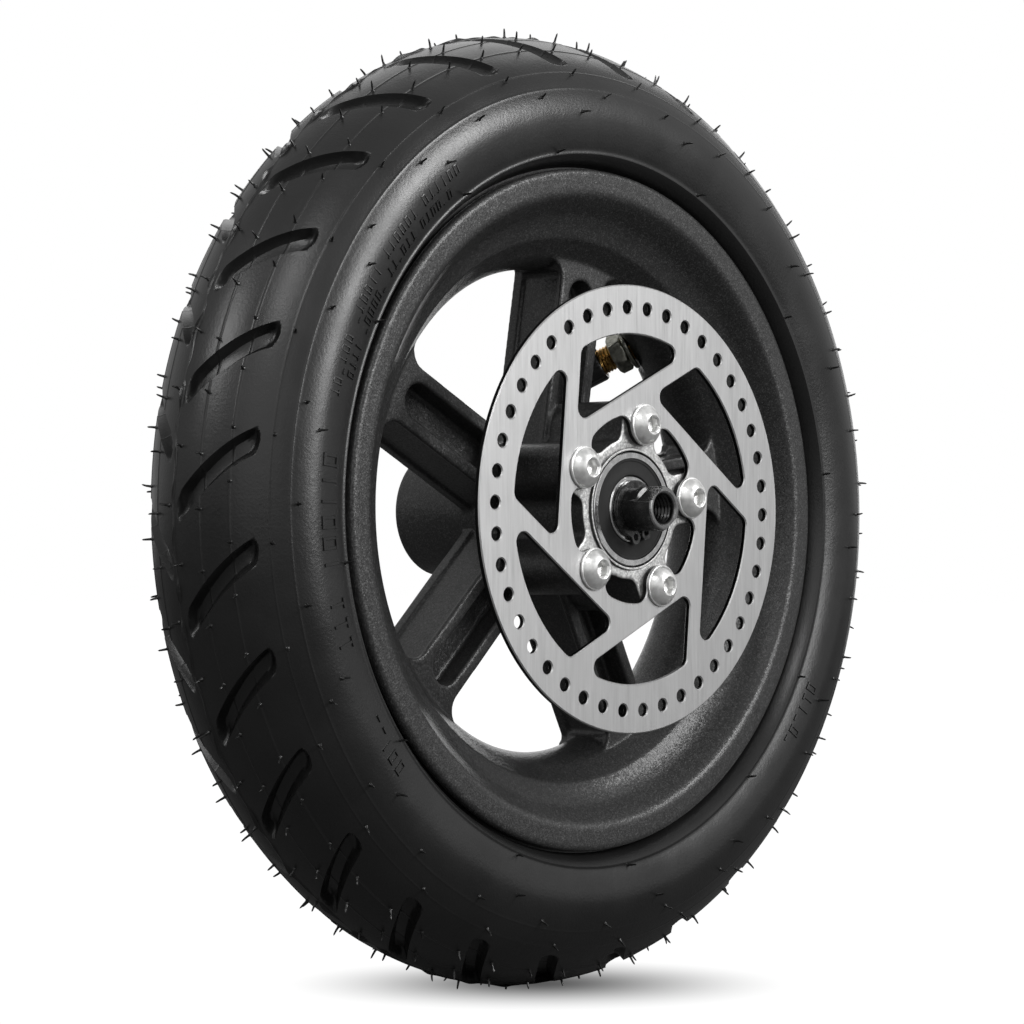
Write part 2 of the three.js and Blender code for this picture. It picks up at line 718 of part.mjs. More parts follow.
// A groove in the axle that holds a circlip, as two steps of the profile.
function clipGroove(clipY) {
  const low = clipY - SIDE_GAP;
  const high = clipY + CLIP_THICKNESS + SIDE_GAP;
  return [
    [AXLE_RADIUS, low],
    [CLIP_GROOVE_RADIUS, low],
    [CLIP_GROOVE_RADIUS, high],
    [AXLE_RADIUS, high],
  ];
}

// One end of the axle: a chamfered end face round the mouth of a threaded bore.
function axleEnd(sign) {
  const end = sign * AXLE_HALF_LENGTH;
  const floor = sign * (AXLE_HALF_LENGTH - AXLE_BORE_DEPTH);
  return [
    [0, floor],
    [AXLE_BORE_RADIUS, floor + sign * 2],
    [AXLE_BORE_RADIUS, end - sign * AXLE_CHAMFER],
    [AXLE_BORE_RADIUS + AXLE_CHAMFER, end],
    [AXLE_RADIUS - AXLE_CHAMFER, end],
    [AXLE_RADIUS, end - sign * AXLE_CHAMFER],
  ];
}

// Two blocks that mill a pair of parallel flats at one end of the axle.
function flatCutters(sign) {
  const size = 10;
  return [1, -1].map((side) => {
    const block = new THREE.BoxGeometry(size, AXLE_FLAT_LENGTH, 2 * size);
    const x = side * (AXLE_FLAT_DISTANCE + size / 2);
    const y = sign * (AXLE_HALF_LENGTH - AXLE_FLAT_LENGTH / 2 + 0.01);
    return turnBy(solid(block.translate(x, y, 0)), AXLE_FLAT_ANGLE);
  });
}

function axle() {
  const profile = [
    ...axleEnd(-1),
    ...clipGroove(NEAR_CLIP_Y),
    ...clipGroove(FAR_CLIP_Y),
    ...axleEnd(1).reverse(),
  ];
  const bar = turned(profile, RING_SEGMENTS);
  return meshOf("axle", cut(bar, [...flatCutters(-1), ...flatCutters(1)]), BLACK_OXIDE);
}

// An open ring with two drilled ears, which sits in the axle's groove.
function circlip(name, y) {
  const half = CLIP_GAP_ANGLE / 2;
  const inner = CLIP_GROOVE_RADIUS + 0.1;
  const outline = [
    ...arc(AXIS, CLIP_OUTER_RADIUS, half, 360 - half, 14),
    ...arc(AXIS, inner, 360 - half, half, 14),
  ];
  const ears = [half + 2, -half - 2].map((angle) =>
    plate(circle(CLIP_EAR_RADIUS, 10, polar(CLIP_EAR_CIRCLE, angle)), y, CLIP_THICKNESS),
  );
  const holes = [half + 2, -half - 2].map((angle) =>
    plate(circle(CLIP_HOLE_RADIUS, 6, polar(CLIP_EAR_CIRCLE, angle)), y - 1, CLIP_THICKNESS + 2),
  );
  const ring = cut(join([plate(outline, y, CLIP_THICKNESS), ...ears]), holes);
  return meshOf(name, turnBy(ring, CLIP_ANGLE), BLACK_OXIDE);
}

function spacerTube() {
  const half = BEARING_WIDTH / 2 + SIDE_GAP;
  const start = DISC_SIDE_BEARING_Y + half;
  const end = FAR_SIDE_BEARING_Y - half;
  const profile = [
    [BEARING_BORE, start],
    [SPACER_RADIUS, start],
    [SPACER_RADIUS, end],
    [BEARING_BORE, end],
  ];
  return meshOf("spacer_tube", turned(profile, RING_SEGMENTS), TURNED_STEEL);
}

// ---------------------------------------------------------------- valve

// The valve stands square on the rim's far cone. Its own +Y runs out of the wall, towards its cap.
function valvePlacement() {
  const at = polar(VALVE_WALL_RADIUS, VALVE_ANGLE);
  const inward = polar(-Math.cos(radians(VALVE_TILT)), VALVE_ANGLE);
  const direction = new THREE.Vector3(inward.x, Math.sin(radians(VALVE_TILT)), inward.y);
  const turn = new THREE.Quaternion().setFromUnitVectors(new THREE.Vector3(0, 1, 0), direction);
  return { position: new THREE.Vector3(at.x, VALVE_WALL_Y, at.y), turn };
}

// A round bar along the valve's axis, in the wheel's frame.
function valveRod(radius, start, end, segments) {
  const { position, turn } = valvePlacement();
  const rod = new THREE.CylinderGeometry(radius, radius, end - start, segments);
  rod.translate(0, (start + end) / 2, 0);
  rod.applyQuaternion(turn);
  rod.translate(position.x, position.y, position.z);
  return solid(rod);
}

function valveStem() {
  const footEnd = VALVE_FOOT_START + VALVE_FOOT_THICKNESS;
  return turned(
    [
      [VALVE_BORE, VALVE_FOOT_START],
      [VALVE_FOOT_RADIUS, VALVE_FOOT_START],
      [VALVE_FOOT_RADIUS, footEnd],
      [VALVE_RADIUS, footEnd + 0.2],
      [VALVE_RADIUS, VALVE_END - 0.5],
      [VALVE_RADIUS - 0.5, VALVE_END],
      [VALVE_BORE, VALVE_END],
    ],
    20,
  );
}

function valveWasher() {
  const start = VALVE_TURNED_GAP;
  const holes = [circle(VALVE_RADIUS + VALVE_TURNED_GAP, 16)];
  return plate(circle(VALVE_WASHER_RADIUS, 24), start, VALVE_WASHER_THICKNESS, holes);
}

function valveNut() {
  const start = 2 * VALVE_TURNED_GAP + VALVE_WASHER_THICKNESS;
  const holes = [circle(VALVE_RADIUS + VALVE_TURNED_GAP, 16)];
  return plate(circle(VALVE_NUT_FLATS / Math.sqrt(3), 6), start, VALVE_NUT_THICKNESS, holes);
}

function valveCap() {
  const inner = VALVE_RADIUS + VALVE_TURNED_GAP;
  const roof = VALVE_END + VALVE_TURNED_GAP;
  return turned(
    [
      [0, roof],
      [inner, roof],
      [inner, VALVE_CAP_START],
      [VALVE_CAP_RADIUS, VALVE_CAP_START],
      [VALVE_CAP_RADIUS, VALVE_CAP_END - 1],
      [VALVE_CAP_RADIUS - 1, VALVE_CAP_END],
      [0, VALVE_CAP_END],
    ],
    20,
  );
}

// The valve core's body: a bush in the stem's bore that guides the pin.
function valveCore() {
  const inner = VALVE_PIN_RADIUS + VALVE_TURNED_GAP;
  const outer = VALVE_BORE - VALVE_TURNED_GAP;
  return turned(
    [
      [inner, VALVE_CORE_START],
      [outer, VALVE_CORE_START],
      [outer, VALVE_CORE_END],
      [inner, VALVE_CORE_END],
    ],
    14,
  );
}

// The valve pin: it is pressed towards the tube to let air past its plug.
function valvePin() {
  const plugRadius = VALVE_BORE - VALVE_TURNED_GAP;
  const plugEnd = VALVE_CORE_START - VALVE_TURNED_GAP;
  return turned(
    [
      [0, plugEnd - 1.6],
      [plugRadius, plugEnd - 1.6],
      [plugRadius, plugEnd],
      [VALVE_PIN_RADIUS, plugEnd],
      [VALVE_PIN_RADIUS, VALVE_END - 0.4],
      [0, VALVE_END - 0.4],
    ],
    12,
  );
}

function valve() {
  const { position, turn } = valvePlacement();
  const group = new THREE.Group();
  group.position.copy(position);
  group.quaternion.copy(turn);
  group.add(meshOf("valve_stem", valveStem(), BRASS));
  group.add(meshOf("valve_washer", valveWasher(), NICKEL));
  group.add(meshOf("valve_nut", valveNut(), NICKEL));
  group.add(meshOf("valve_cap", valveCap(), CAP_PLASTIC));
  group.add(meshOf("valve_core", valveCore(), BRASS));
  group.add(meshOf("valve_pin", valvePin(), BRASS));
  return group;
}

// ---------------------------------------------------------------- the whole wheel

const wheel = new THREE.Group();
wheel.add(tyre());
wheel.add(innerTube());
wheel.add(wheelCasting());
wheel.add(brakeDisc());
wheel.add(...around(SPOKES, SPOKE_ANGLE, discBolt));
wheel.add(bearing("disc_side", DISC_SIDE_BEARING_Y, -1));
wheel.add(bearing("far_side", FAR_SIDE_BEARING_Y, 1));
wheel.add(axle());
wheel.add(circlip("circlip_disc_side", NEAR_CLIP_Y));
wheel.add(circlip("circlip_far_side", FAR_CLIP_Y));
wheel.add(spacerTube());
wheel.add(valve());

export default wheel;
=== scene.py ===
"""A pneumatic scooter wheel with a brake disc, on its fixed axle.

Lengths are in millimetres, and become metres when a mesh is made. The axle lies along Y and the
brake disc faces -Y. Angles round the axle are in degrees and run from +X towards +Z.
"""

import math
import random

import bmesh
import bpy
import numpy as np
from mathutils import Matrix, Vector
from mathutils.geometry import delaunay_2d_cdt


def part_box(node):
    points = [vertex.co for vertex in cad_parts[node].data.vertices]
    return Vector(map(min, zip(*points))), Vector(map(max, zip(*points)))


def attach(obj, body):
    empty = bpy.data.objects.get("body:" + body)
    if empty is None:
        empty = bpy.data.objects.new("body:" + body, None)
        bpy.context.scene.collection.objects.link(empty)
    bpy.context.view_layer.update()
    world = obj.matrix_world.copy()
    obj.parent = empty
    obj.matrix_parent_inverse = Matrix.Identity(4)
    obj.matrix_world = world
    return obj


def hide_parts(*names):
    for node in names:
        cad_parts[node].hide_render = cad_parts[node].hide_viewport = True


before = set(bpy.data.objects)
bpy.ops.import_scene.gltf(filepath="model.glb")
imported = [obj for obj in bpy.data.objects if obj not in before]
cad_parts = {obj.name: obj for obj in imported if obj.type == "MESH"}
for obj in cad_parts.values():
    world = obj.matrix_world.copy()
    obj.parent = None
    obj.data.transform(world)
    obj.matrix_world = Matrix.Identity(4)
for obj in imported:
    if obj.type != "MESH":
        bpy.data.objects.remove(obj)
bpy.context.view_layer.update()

MM = 0.001


def low(node):
    return np.array(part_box(node)[0]) / MM


def high(node):
    return np.array(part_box(node)[1]) / MM


# ---------------------------------------------------------------- driving dimensions

TYRE_RADIUS = high("tyre")[2]
TYRE_HALF_WIDTH = high("tyre")[1]
TYRE_WIDEST_RADIUS = 88
TYRE_CROWN_POWER = 1.8
TYRE_WALL_PULL = 3
BEAD_RIDGE_RADIUS = 80.2
CAVITY_CENTRE = 86.5
CAVITY_RADIUS = 17.5
GROOVES_PER_SIDE = 28
GROOVE_TIP_ANGLE = 172.6
GROOVE_SWEEP = 8.2
GROOVE_TIP_Y = 16.6
GROOVE_ROOT_Y = 1.2
GROOVE_HALF_ANGLE = 1.68
GROOVE_HALF_WIDTH = 2.35
GROOVE_DEPTH = 2.4
RIDGE_TURNS = [22, 33.5]
VENT_LINE_Y = [6.6, 12.3]

RIM_RADIUS = 77.1
RIM_HALF_WIDTH = 19.5
FLANGE_THICKNESS = 2.9
LIP_INNER_RADIUS = 71.5
BEAD_SEAT_RADIUS = 69.4
WELL_RADIUS = 60.8
WELL_HALF_WIDTH = 5.2
THROAT_RADIUS = 55.5
NEAR_WALL_START = 1.17
NEAR_WALL_ROUNDING = 12.7
FAR_WALL_ROUNDING = 17
SPOKES = 5
SPOKE_ANGLE = 8.4
SPOKE_HALF_WIDTH = 7
SPOKE_FRONT_END = 58.1
SPOKE_BACK_END = 57.2
SPOKE_FRONT_Y = -6.5
SPOKE_BACK_Y = 9.5
SPOKE_WEB = 5
SPOKE_FRONT_FLANGE = 1.4
SPOKE_BACK_FLANGE = 3.2
SPOKE_FRONT_FILLET = 4.5
SPOKE_BACK_FILLET = 1.5
SPOKE_SIDE_RECESS = 0.7
POCKET_HALF_WIDTH = 4
POCKET_OUTER_RADIUS = 54
POCKET_INNER_RADIUS = 21
HUB_RADIUS = 15.1
STAR_RADIUS = 15.8
STAR_FILLET = 2.5
ARM_HALF_WIDTH = 5.8
BOSS_RADIUS = 13.65
BOSS_FACE_Y = low("wheel_casting")[1] + 0.2
HUB_FAR_Y = high("wheel_casting")[1]
CAST_VOXEL = 0.33
CAST_SMOOTHING = 9

DISC_FRONT_Y = low("brake_disc")[1]
DISC_BACK_Y = DISC_FRONT_Y + 1.45
DISC_BEVEL = 0.25
DISC_RADIUS = 50.2
STAR_FACE_Y = DISC_BACK_Y + 0.1
VENT_HOLES = 42
VENT_RADIUS = 1.45
VENT_CIRCLE = 45.1
VENT_ANGLE = 93.28
WINDOWS = 6
WINDOW_ANGLE = 55
WINDOW_OUTER_RADIUS = 39.2
WINDOW_NEAR_LINE = 24.8
WINDOW_FAR_LINE = 20.7
WINDOW_FILLET = 2.2
SCALLOP_RADIUS = 21.1
SCALLOP_FILLET = 3
LAND_NOSE_RADIUS = 4.6
BOLT_CIRCLE = 19.2
BOLT_HEAD_RADIUS = 4.7
BOLT_HOLE_RADIUS = 2.6
BOLT_SHANK_RADIUS = 2.4
BOLT_LENGTH = 13
BOLT_SOCKET_FLATS = 3.1
BOLT_DOME_SLOPE = 61.5

BEARING_RADIUS = 12.95
BEARING_BORE = 5.02
BEARING_HALF_WIDTH = 4
INNER_RING_RADIUS = 7.4
OUTER_RING_SHOULDER = 10.7
SEAL_SEAT_RADIUS = 11.45
SEAL_SEAT_Y = 3
BALLS = 7
BALL_RADIUS = 2.381
BALL_CIRCLE = 9

AXLE_RADIUS = 4.95
AXLE_END_Y = high("axle")[1]
AXLE_FLAT_DISTANCE = 4.05
AXLE_FLAT_LENGTH = 4.5
AXLE_FLAT_ANGLE = 126
AXLE_BORE_RADIUS = 3.4
AXLE_THREAD_PITCH = 1
AXLE_THREAD_DEPTH = 0.45
AXLE_CHAMFER = 0.35
CLIP_GROOVE_RADIUS = 4.6
CLIP_OUTER_RADIUS = 6.45
CLIP_EAR_RADIUS = 1.6
CLIP_EAR_CIRCLE = 6.3
CLIP_EAR_ANGLE = 17
CLIP_HOLE_RADIUS = 0.75
CLIP_ANGLE = 287
SPACER_RADIUS = 7.2

VALVE_ANGLE = 43.2
VALVE_WALL_RADIUS = 59.3
VALVE_WALL_Y = 8.9
VALVE_TILT = 50
VALVE_RADIUS = 3.25
VALVE_SEAT_RADIUS = 6.2
VALVE_THREAD_PITCH = 0.8
VALVE_THREAD_DEPTH = 0.32
VALVE_BORE_RADIUS = 2
VALVE_START = -9.2
VALVE_END = 16
NUT_START = 1.5
NUT_END = 5
NUT_FLATS = 8.6
CAP_START = 8.3
CAP_END = 18
CAP_RADIUS = 4.5
CAP_RIBS = 24
CAP_RIB_HEIGHT = 0.14

# ---------------------------------------------------------------- points and outlines


def polar(radius, degrees):
    """Points at a radius and an angle round the axle, as (x, z)."""
    angle = np.radians(degrees)
    return np.stack([radius * np.cos(angle), radius * np.sin(angle)], axis=-1)


def arc(centre, radius, start, end, steps):
    return np.asarray(centre) + polar(radius, np.linspace(start, end, steps + 1))


def circle(radius, segments, centre=(0, 0)):
    return arc(centre, radius, 0, 360, segments)[:-1]


def angle_of(point):
    return math.degrees(math.atan2(point[1], point[0]))


def turned_by(points, degrees):
    """(x, z) points turned round the axle."""
    angle = math.radians(degrees)
    x, z = points[:, 0], points[:, 1]
    across = x * math.cos(angle) - z * math.sin(angle)
    upward = x * math.sin(angle) + z * math.cos(angle)
    return np.column_stack([across, upward])


def around(count, start=0.0):
    """Equally spaced angles."""
    return [start + 360 * i / count for i in range(count)]


def soften(outline, reach, steps=3, closed=True):
    """Rounds each corner of an outline, over this length of both edges or less where they are short."""
    points = np.array(outline, float)
    made = []
    for i, corner in enumerate(points):
        if not closed and i in (0, len(points) - 1):
            made.append(corner)
            continue
        before = points[i - 1] - corner
        after = points[(i + 1) % len(points)] - corner
        start = corner + before * min(reach / np.linalg.norm(before), 0.45)
        end = corner + after * min(reach / np.linalg.norm(after), 0.45)
        for t in np.linspace(0, 1, steps + 1):
            made.append((1 - t) ** 2 * start + 2 * t * (1 - t) * corner + t**2 * end)
    return np.array(made)


def offset(outline, distance):
    """Moves an anticlockwise outline inwards by a small distance."""
    ahead = np.roll(outline, -1, axis=0) - outline
    ahead /= np.linalg.norm(ahead, axis=1)[:, None]
    tangent = ahead + np.roll(ahead, 1, axis=0)
    tangent /= np.linalg.norm(tangent, axis=1)[:, None]
    inward = np.column_stack([-tangent[:, 1], tangent[:, 0]])
    spread = np.maximum((tangent * ahead).sum(axis=1), 0.5)
    return outline + inward * (distance / spread)[:, None]


# ---------------------------------------------------------------- surfaces
# A shell is a pair: an array of points and an array of faces.


def ring(radius, y, segments):
    """Points round the Y axis. The radius is one value or a value for each point."""
    angles = np.linspace(0, 360, segments, endpoint=False)
    xz = polar(radius, angles)
    return np.column_stack([xz[:, 0], np.broadcast_to(y, segments), xz[:, 1]])


def rings_at(points, segments):
    """A ring for each (radius, y) point."""
    return [ring(radius, y, segments) for radius, y in points]


def skin(rings, closed):
    """Faces between rings of points, and from the last ring to the first if closed."""
    rings = list(rings)
    count = len(rings[0])
    index = np.arange(len(rings) * count).reshape(len(rings), count)
    if closed:
        index = np.vstack([index, index[:1]])
    beside = np.roll(index, -1, axis=1)
    quads = np.stack([index[:-1], beside[:-1], beside[1:], index[1:]], axis=-1)
    return np.concatenate(rings), quads.reshape(-1, 4)


def lathe(profile, segments=96):
    """Turns a profile of (radius, y) points. It ends on the axis, or closes on itself."""
    closed = profile[0][0] > 0
    return skin(rings_at(profile, segments), closed)


def loop_edges(loops):
    edges = []
    start = 0
    for loop in loops:
        count = len(loop)
        edges += [(start + i, start + (i + 1) % count) for i in range(count)]
        start += count
    return edges


def at_y(points, y):
    return np.column_stack([points[:, 0], np.full(len(points), y), points[:, 1]])


def in_material(points, loops):
    """Whether each point is in the material, where its level line crosses an odd number of edges."""
    start = np.concatenate(loops)
    end = np.concatenate([np.roll(loop, -1, axis=0) for loop in loops])
    x, z = points[:, :1], points[:, 1:]
    spans = (start[:, 1] > z) != (end[:, 1] > z)
    rise = np.where(end[:, 1] == start[:, 1], 1, end[:, 1] - start[:, 1])
    crossing = start[:, 0] + (z - start[:, 1]) * (end[:, 0] - start[:, 0]) / rise
    return (spans & (x < crossing)).sum(axis=1) % 2 == 1


def plate(outline, holes, front, back, bevel):
    """Shells of a flat plate of anticlockwise (x, z) outlines, with bevelled edges."""
    loops = [outline] + list(holes)
    inset = [offset(outline, bevel)] + [offset(hole, -bevel) for hole in holes]
    flat = np.concatenate(inset)
    corners = [Vector(point) for point in flat]
    inside_outline = 1
    filled = delaunay_2d_cdt(corners, loop_edges(inset), [], inside_outline, 1e-7)
    source = [origin[0] for origin in filled[3]]
    triangles = np.array([[source[i] for i in face] for face in filled[2]])
    triangles = triangles[in_material(flat[triangles].mean(axis=1), inset)]
    shells = [(at_y(flat, front), triangles), (at_y(flat, back), triangles)]
    for edge, small in zip(loops, inset):
        levels = [
            at_y(small, front),
            at_y(edge, front + bevel),
            at_y(edge, back - bevel),
            at_y(small, back),
        ]
        shells.append(skin(levels, closed=False))
    return shells


def moved(shell, shift):
    points, faces = shell
    return points + np.asarray(shift), faces


def spun(shell, degrees):
    """A shell turned round the axle."""
    points, faces = shell
    xz = turned_by(points[:, [0, 2]], degrees)
    return np.column_stack([xz[:, 0], points[:, 1], xz[:, 1]]), faces


def mesh_of(name, shells):
    """One mesh of all the shells, with shared edges merged and its faces pointing out."""
    bm = bmesh.new()
    for points, faces in shells:
        corners = [bm.verts.new(point) for point in (points * MM).tolist()]
        for face in faces.tolist():
            bm.faces.new([corners[i] for i in face])
    bmesh.ops.remove_doubles(bm, verts=bm.verts, dist=1e-6)
    bmesh.ops.recalc_face_normals(bm, faces=bm.faces)
    mesh = bpy.data.meshes.new(name)
    bm.to_mesh(mesh)
    bm.free()
    return mesh


def linked(name, data):
    """An object in the scene."""
    made = bpy.data.objects.new(name, data)
    bpy.context.scene.collection.objects.link(made)
    return made


def joined(mesh, other):
    """Adds another mesh's separate bodies to a mesh."""
    bm = bmesh.new()
    bm.from_mesh(mesh)
    bm.from_mesh(other)
    bm.to_mesh(mesh)
    bm.free()
    return mesh


def piece(name, mesh, finish, body, nodes, sharp=32):
    """A shown piece that rides on a body and stands for CAD nodes. Its slot is named after its finish."""
    mesh.shade_smooth()
    mesh.set_sharp_from_angle(angle=math.radians(sharp))
    mesh.materials.clear()
    mesh.materials.append(FINISHES[finish])
    made = linked(name, mesh)
    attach(made, body)
    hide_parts(*nodes)


# ---------------------------------------------------------------- materials


FINISHES = {}


def rgba(color):
    """A colour given as (red, green, blue) or as a grey level."""
    return (*color, 1) if isinstance(color, tuple) else (color, color, color, 1)


class Nodes:
    """A node tree in the making."""

    def __init__(self, owner):
        owner.use_nodes = True
        self.tree = owner.node_tree

    def add(self, kind, inputs, **settings):
        made = self.tree.nodes.new(kind)
        for name, value in settings.items():
            setattr(made, name, value)
        for name, value in inputs.items():
            if isinstance(value, bpy.types.NodeSocket):
                self.tree.links.new(value, made.inputs[name])
            else:
                made.inputs[name].default_value = value
        return made


class Finish(Nodes):
    """The surface of a piece. Its textures are read in the piece's own coordinates."""

    def __init__(self, name, color, roughness, metallic=0.0):
        FINISHES[name] = bpy.data.materials.new(name)
        super().__init__(FINISHES[name])
        self.shader = self.tree.nodes["Principled BSDF"]
        self.shader.inputs["Base Color"].default_value = rgba(color)
        self.shader.inputs["Roughness"].default_value = roughness
        self.shader.inputs["Metallic"].default_value = metallic
        self.place = self.add("ShaderNodeTexCoord", {})

    def noise(self, size, detail=2.0, stretch=(1, 1, 1)):
        """Noise with features of this size in millimetres, drawn out along an axis by its stretch."""
        scale = [1 / (size * MM * s) for s in stretch]
        inputs = {"Vector": self.place.outputs["Object"], "Scale": scale}
        mapping = self.add("ShaderNodeMapping", inputs)
        inputs = {"Vector": mapping.outputs["Vector"], "Scale": 1.0, "Detail": detail}
        return self.add("ShaderNodeTexNoise", inputs).outputs["Fac"]

    def cells(self, size):
        """A random value for each small cell."""
        inputs = {"Vector": self.place.outputs["Object"], "Scale": 1 / (size * MM)}
        return self.add("ShaderNodeTexVoronoi", inputs).outputs["Color"]

    def span(self, value, start, end, low, high):
        """A value mapped from one range to another, and held at its ends."""
        inputs = {"Value": value, "From Min": start, "From Max": end, "To Min": low, "To Max": high}
        return self.add("ShaderNodeMapRange", inputs).outputs["Result"]

    def math(self, operation, *values):
        return self.add("ShaderNodeMath", dict(enumerate(values)), operation=operation).outputs[0]

    def vector_math(self, operation, inputs):
        return self.add("ShaderNodeVectorMath", inputs, operation=operation).outputs[0]

    def blend(self, factor, first, second):
        """A colour between two others, each a grey level, a colour or another blend."""
        inputs = {"Factor": factor}
        for index, color in ((6, first), (7, second)):
            inputs[index] = color if isinstance(color, bpy.types.NodeSocket) else rgba(color)
        return self.add("ShaderNodeMix", inputs, data_type="RGBA").outputs[2]

    def use(self, name, value):
        self.tree.links.new(value, self.shader.inputs[name])

    def bump(self, height, depth, strength=1.0):
        """Surface relief of a depth in millimetres. Later calls add to earlier ones."""
        inputs = {"Height": height, "Distance": depth * MM, "Strength": strength}
        before = self.shader.inputs["Normal"].links
        if before:
            inputs["Normal"] = before[0].from_socket
        made = self.add("ShaderNodeBump", inputs)
        self.use("Normal", made.outputs["Normal"])

    def facets(self, size, tilt):
        """Tilts each small cell of the surface at random, as flakes do, so that some of them glint."""
        spread = self.vector_math("SUBTRACT", {0: self.cells(size), 1: (0.5, 0.5, 0.5)})
        lean = self.vector_math("SCALE", {0: spread, "Scale": tilt})
        before = self.shader.inputs["Normal"].links[0].from_socket
        tilted = self.vector_math("ADD", {0: before, 1: lean})
        self.use("Normal", self.vector_math("NORMALIZE", {0: tilted}))

    def object_axis(self, source, axis):
        """One coordinate of the piece's own Object position or Normal."""
        inputs = {"Vector": self.place.outputs[source]}
        return self.add("ShaderNodeSeparateXYZ", inputs).outputs[axis]


def tyre_rubber():
    finish = Finish("tyre_rubber", 0.01, 0.36)
    patches = finish.noise(14, detail=4)
    finish.use("Base Color", finish.blend(patches, 0.006, 0.013))
    finish.use("Roughness", finish.span(patches, 0.3, 0.7, 0.27, 0.36))
    finish.bump(finish.noise(0.6, detail=4), 0.045, 0.8)
    finish.bump(finish.noise(4, detail=2), 0.12, 0.35)


def dull(name, color, roughness, cloud, dark, light, grain):
    """Rubber or plastic. Its cloud is (size, detail), and its grain is (size, depth, strength)."""
    finish = Finish(name, color, roughness)
    finish.use("Base Color", finish.blend(finish.noise(*cloud), dark, light))
    size, depth, strength = grain
    finish.bump(finish.noise(size), depth, strength)
    return finish


def powder_coat():
    """Charcoal powder coat with fine bright flakes. The machined face round the bearing is bare."""
    finish = Finish("powder_coat", (0.03, 0.03, 0.032), 0.5)
    flakes = finish.span(finish.cells(0.28), 0.6, 0.85, 0, 1)
    coat = finish.blend(finish.noise(9, detail=3), 0.022, 0.032)
    coat = finish.blend(flakes, coat, 0.065)
    mottle = finish.span(finish.noise(0.5, detail=5), 0.35, 0.65, 0, 1)
    metal = finish.blend(mottle, 0.36, (0.66, 0.66, 0.65))
    y = finish.object_axis("Object", "Y")
    front = finish.span(y, (STAR_FACE_Y + 0.5) * MM, (STAR_FACE_Y + 0.3) * MM, 0, 1)
    facing = finish.span(finish.object_axis("Normal", "Y"), -0.55, -0.85, 0, 1)
    bare = finish.math("MULTIPLY", front, facing)
    finish.use("Base Color", finish.blend(bare, coat, metal))
    finish.use("Metallic", finish.span(bare, 0, 1, 0.15, 0.9))
    finish.use("Roughness", finish.span(bare, 0, 1, 0.36, 0.5))
    finish.bump(finish.noise(0.4, detail=1), 0.07, 0.5)
    finish.facets(0.3, 0.18)


def disc_steel():
    """Ground stainless steel: straight grain on the faces, and painted shade on the cut edges, which are
    coloured near black.
    """
    finish = Finish("disc_steel", 0.6, 0.36, 1.0)
    grain = finish.noise(0.16, detail=2, stretch=(1, 1, 60))
    facing = finish.math("ABSOLUTE", finish.object_axis("Normal", "Y"))
    face = finish.span(facing, 0.2, 0.6, 0, 1)
    # Painted shade: surfaces that face sideways, the cut edges of the rim, holes and windows, are
    # coloured near black.
    finish.use("Base Color", finish.blend(face, 0.03, finish.blend(grain, 0.47, 0.64)))
    finish.use("Roughness", finish.span(grain, 0.3, 0.7, 0.36, 0.46))
    finish.bump(grain, 0.01, 0.3)


def steel(name, dark, light, roughness, metallic=1.0, scratches=0.4):
    """A bare or plated metal with faint clouding and fine scratches."""
    finish = Finish(name, light, roughness, metallic)
    cloud = finish.span(finish.noise(1.2, detail=5), 0.35, 0.65, 0, 1)
    finish.use("Base Color", finish.blend(cloud, dark, light))
    finish.use("Roughness", finish.span(cloud, 0, 1, roughness - 0.05, roughness + 0.07))
    finish.bump(finish.noise(0.3, detail=2), 0.008, scratches)


def axle_steel():
    """Blackened steel, with a painted highlight: the last third of a millimetre at each end, chamfer and
    end face, is coloured light.
    """
    finish = Finish("axle_steel", 0.04, 0.22, 0.7)
    cloud = finish.noise(1.2, detail=4)
    black = finish.blend(cloud, 0.03, 0.05)
    # The light colour named turned is a painted highlight for the chamfers and end faces, where light
    # catches the edges.
    turned = finish.blend(cloud, 0.12, 0.3)
    from_middle = finish.math("ABSOLUTE", finish.object_axis("Object", "Y"))
    chamfer = ((AXLE_END_Y - AXLE_CHAMFER) * MM, (AXLE_END_Y - 0.3) * MM)
    end = finish.span(from_middle, *chamfer, 0, 1)
    finish.use("Base Color", finish.blend(end, black, turned))
    finish.use("Roughness", finish.span(cloud, 0.3, 0.7, 0.18, 0.3))
    finish.bump(finish.noise(0.3, detail=2), 0.008, 0.2)


def build_finishes():
    tyre_rubber()
    dull("tube_rubber", 0.02, 0.6, (6, 5), 0.012, 0.045, (0.8, 0.05, 0.5))
    powder_coat()
    disc_steel()
    steel("bolt_steel", (0.74, 0.74, 0.73), (0.88, 0.88, 0.87), 0.34, 0.7, 0.9)
    steel("bearing_steel", 0.6, 0.7, 0.2)
    steel("cage_steel", (0.4, 0.38, 0.33), (0.55, 0.53, 0.48), 0.35)
    seal = dull("seal_rubber", 0.01, 0.65, (1.5, 4), 0.017, 0.028, (0.3, 0.03, 0.5))
    seal.shader.inputs["Specular IOR Level"].default_value = 0.15
    axle_steel()
    steel("clip_steel", 0.04, 0.1, 0.25, 0.8, 0.2)
    steel("turned_steel", 0.35, 0.5, 0.35)
    steel("valve_brass", (0.34, 0.19, 0.05), (0.6, 0.38, 0.13), 0.3)
    steel("nickel", (0.2, 0.2, 0.17), (0.42, 0.42, 0.37), 0.33)
    dull("cap_plastic", 0.012, 0.35, (2, 3), 0.009, 0.016, (0.4, 0.02, 0.4))


# ---------------------------------------------------------------- tyre


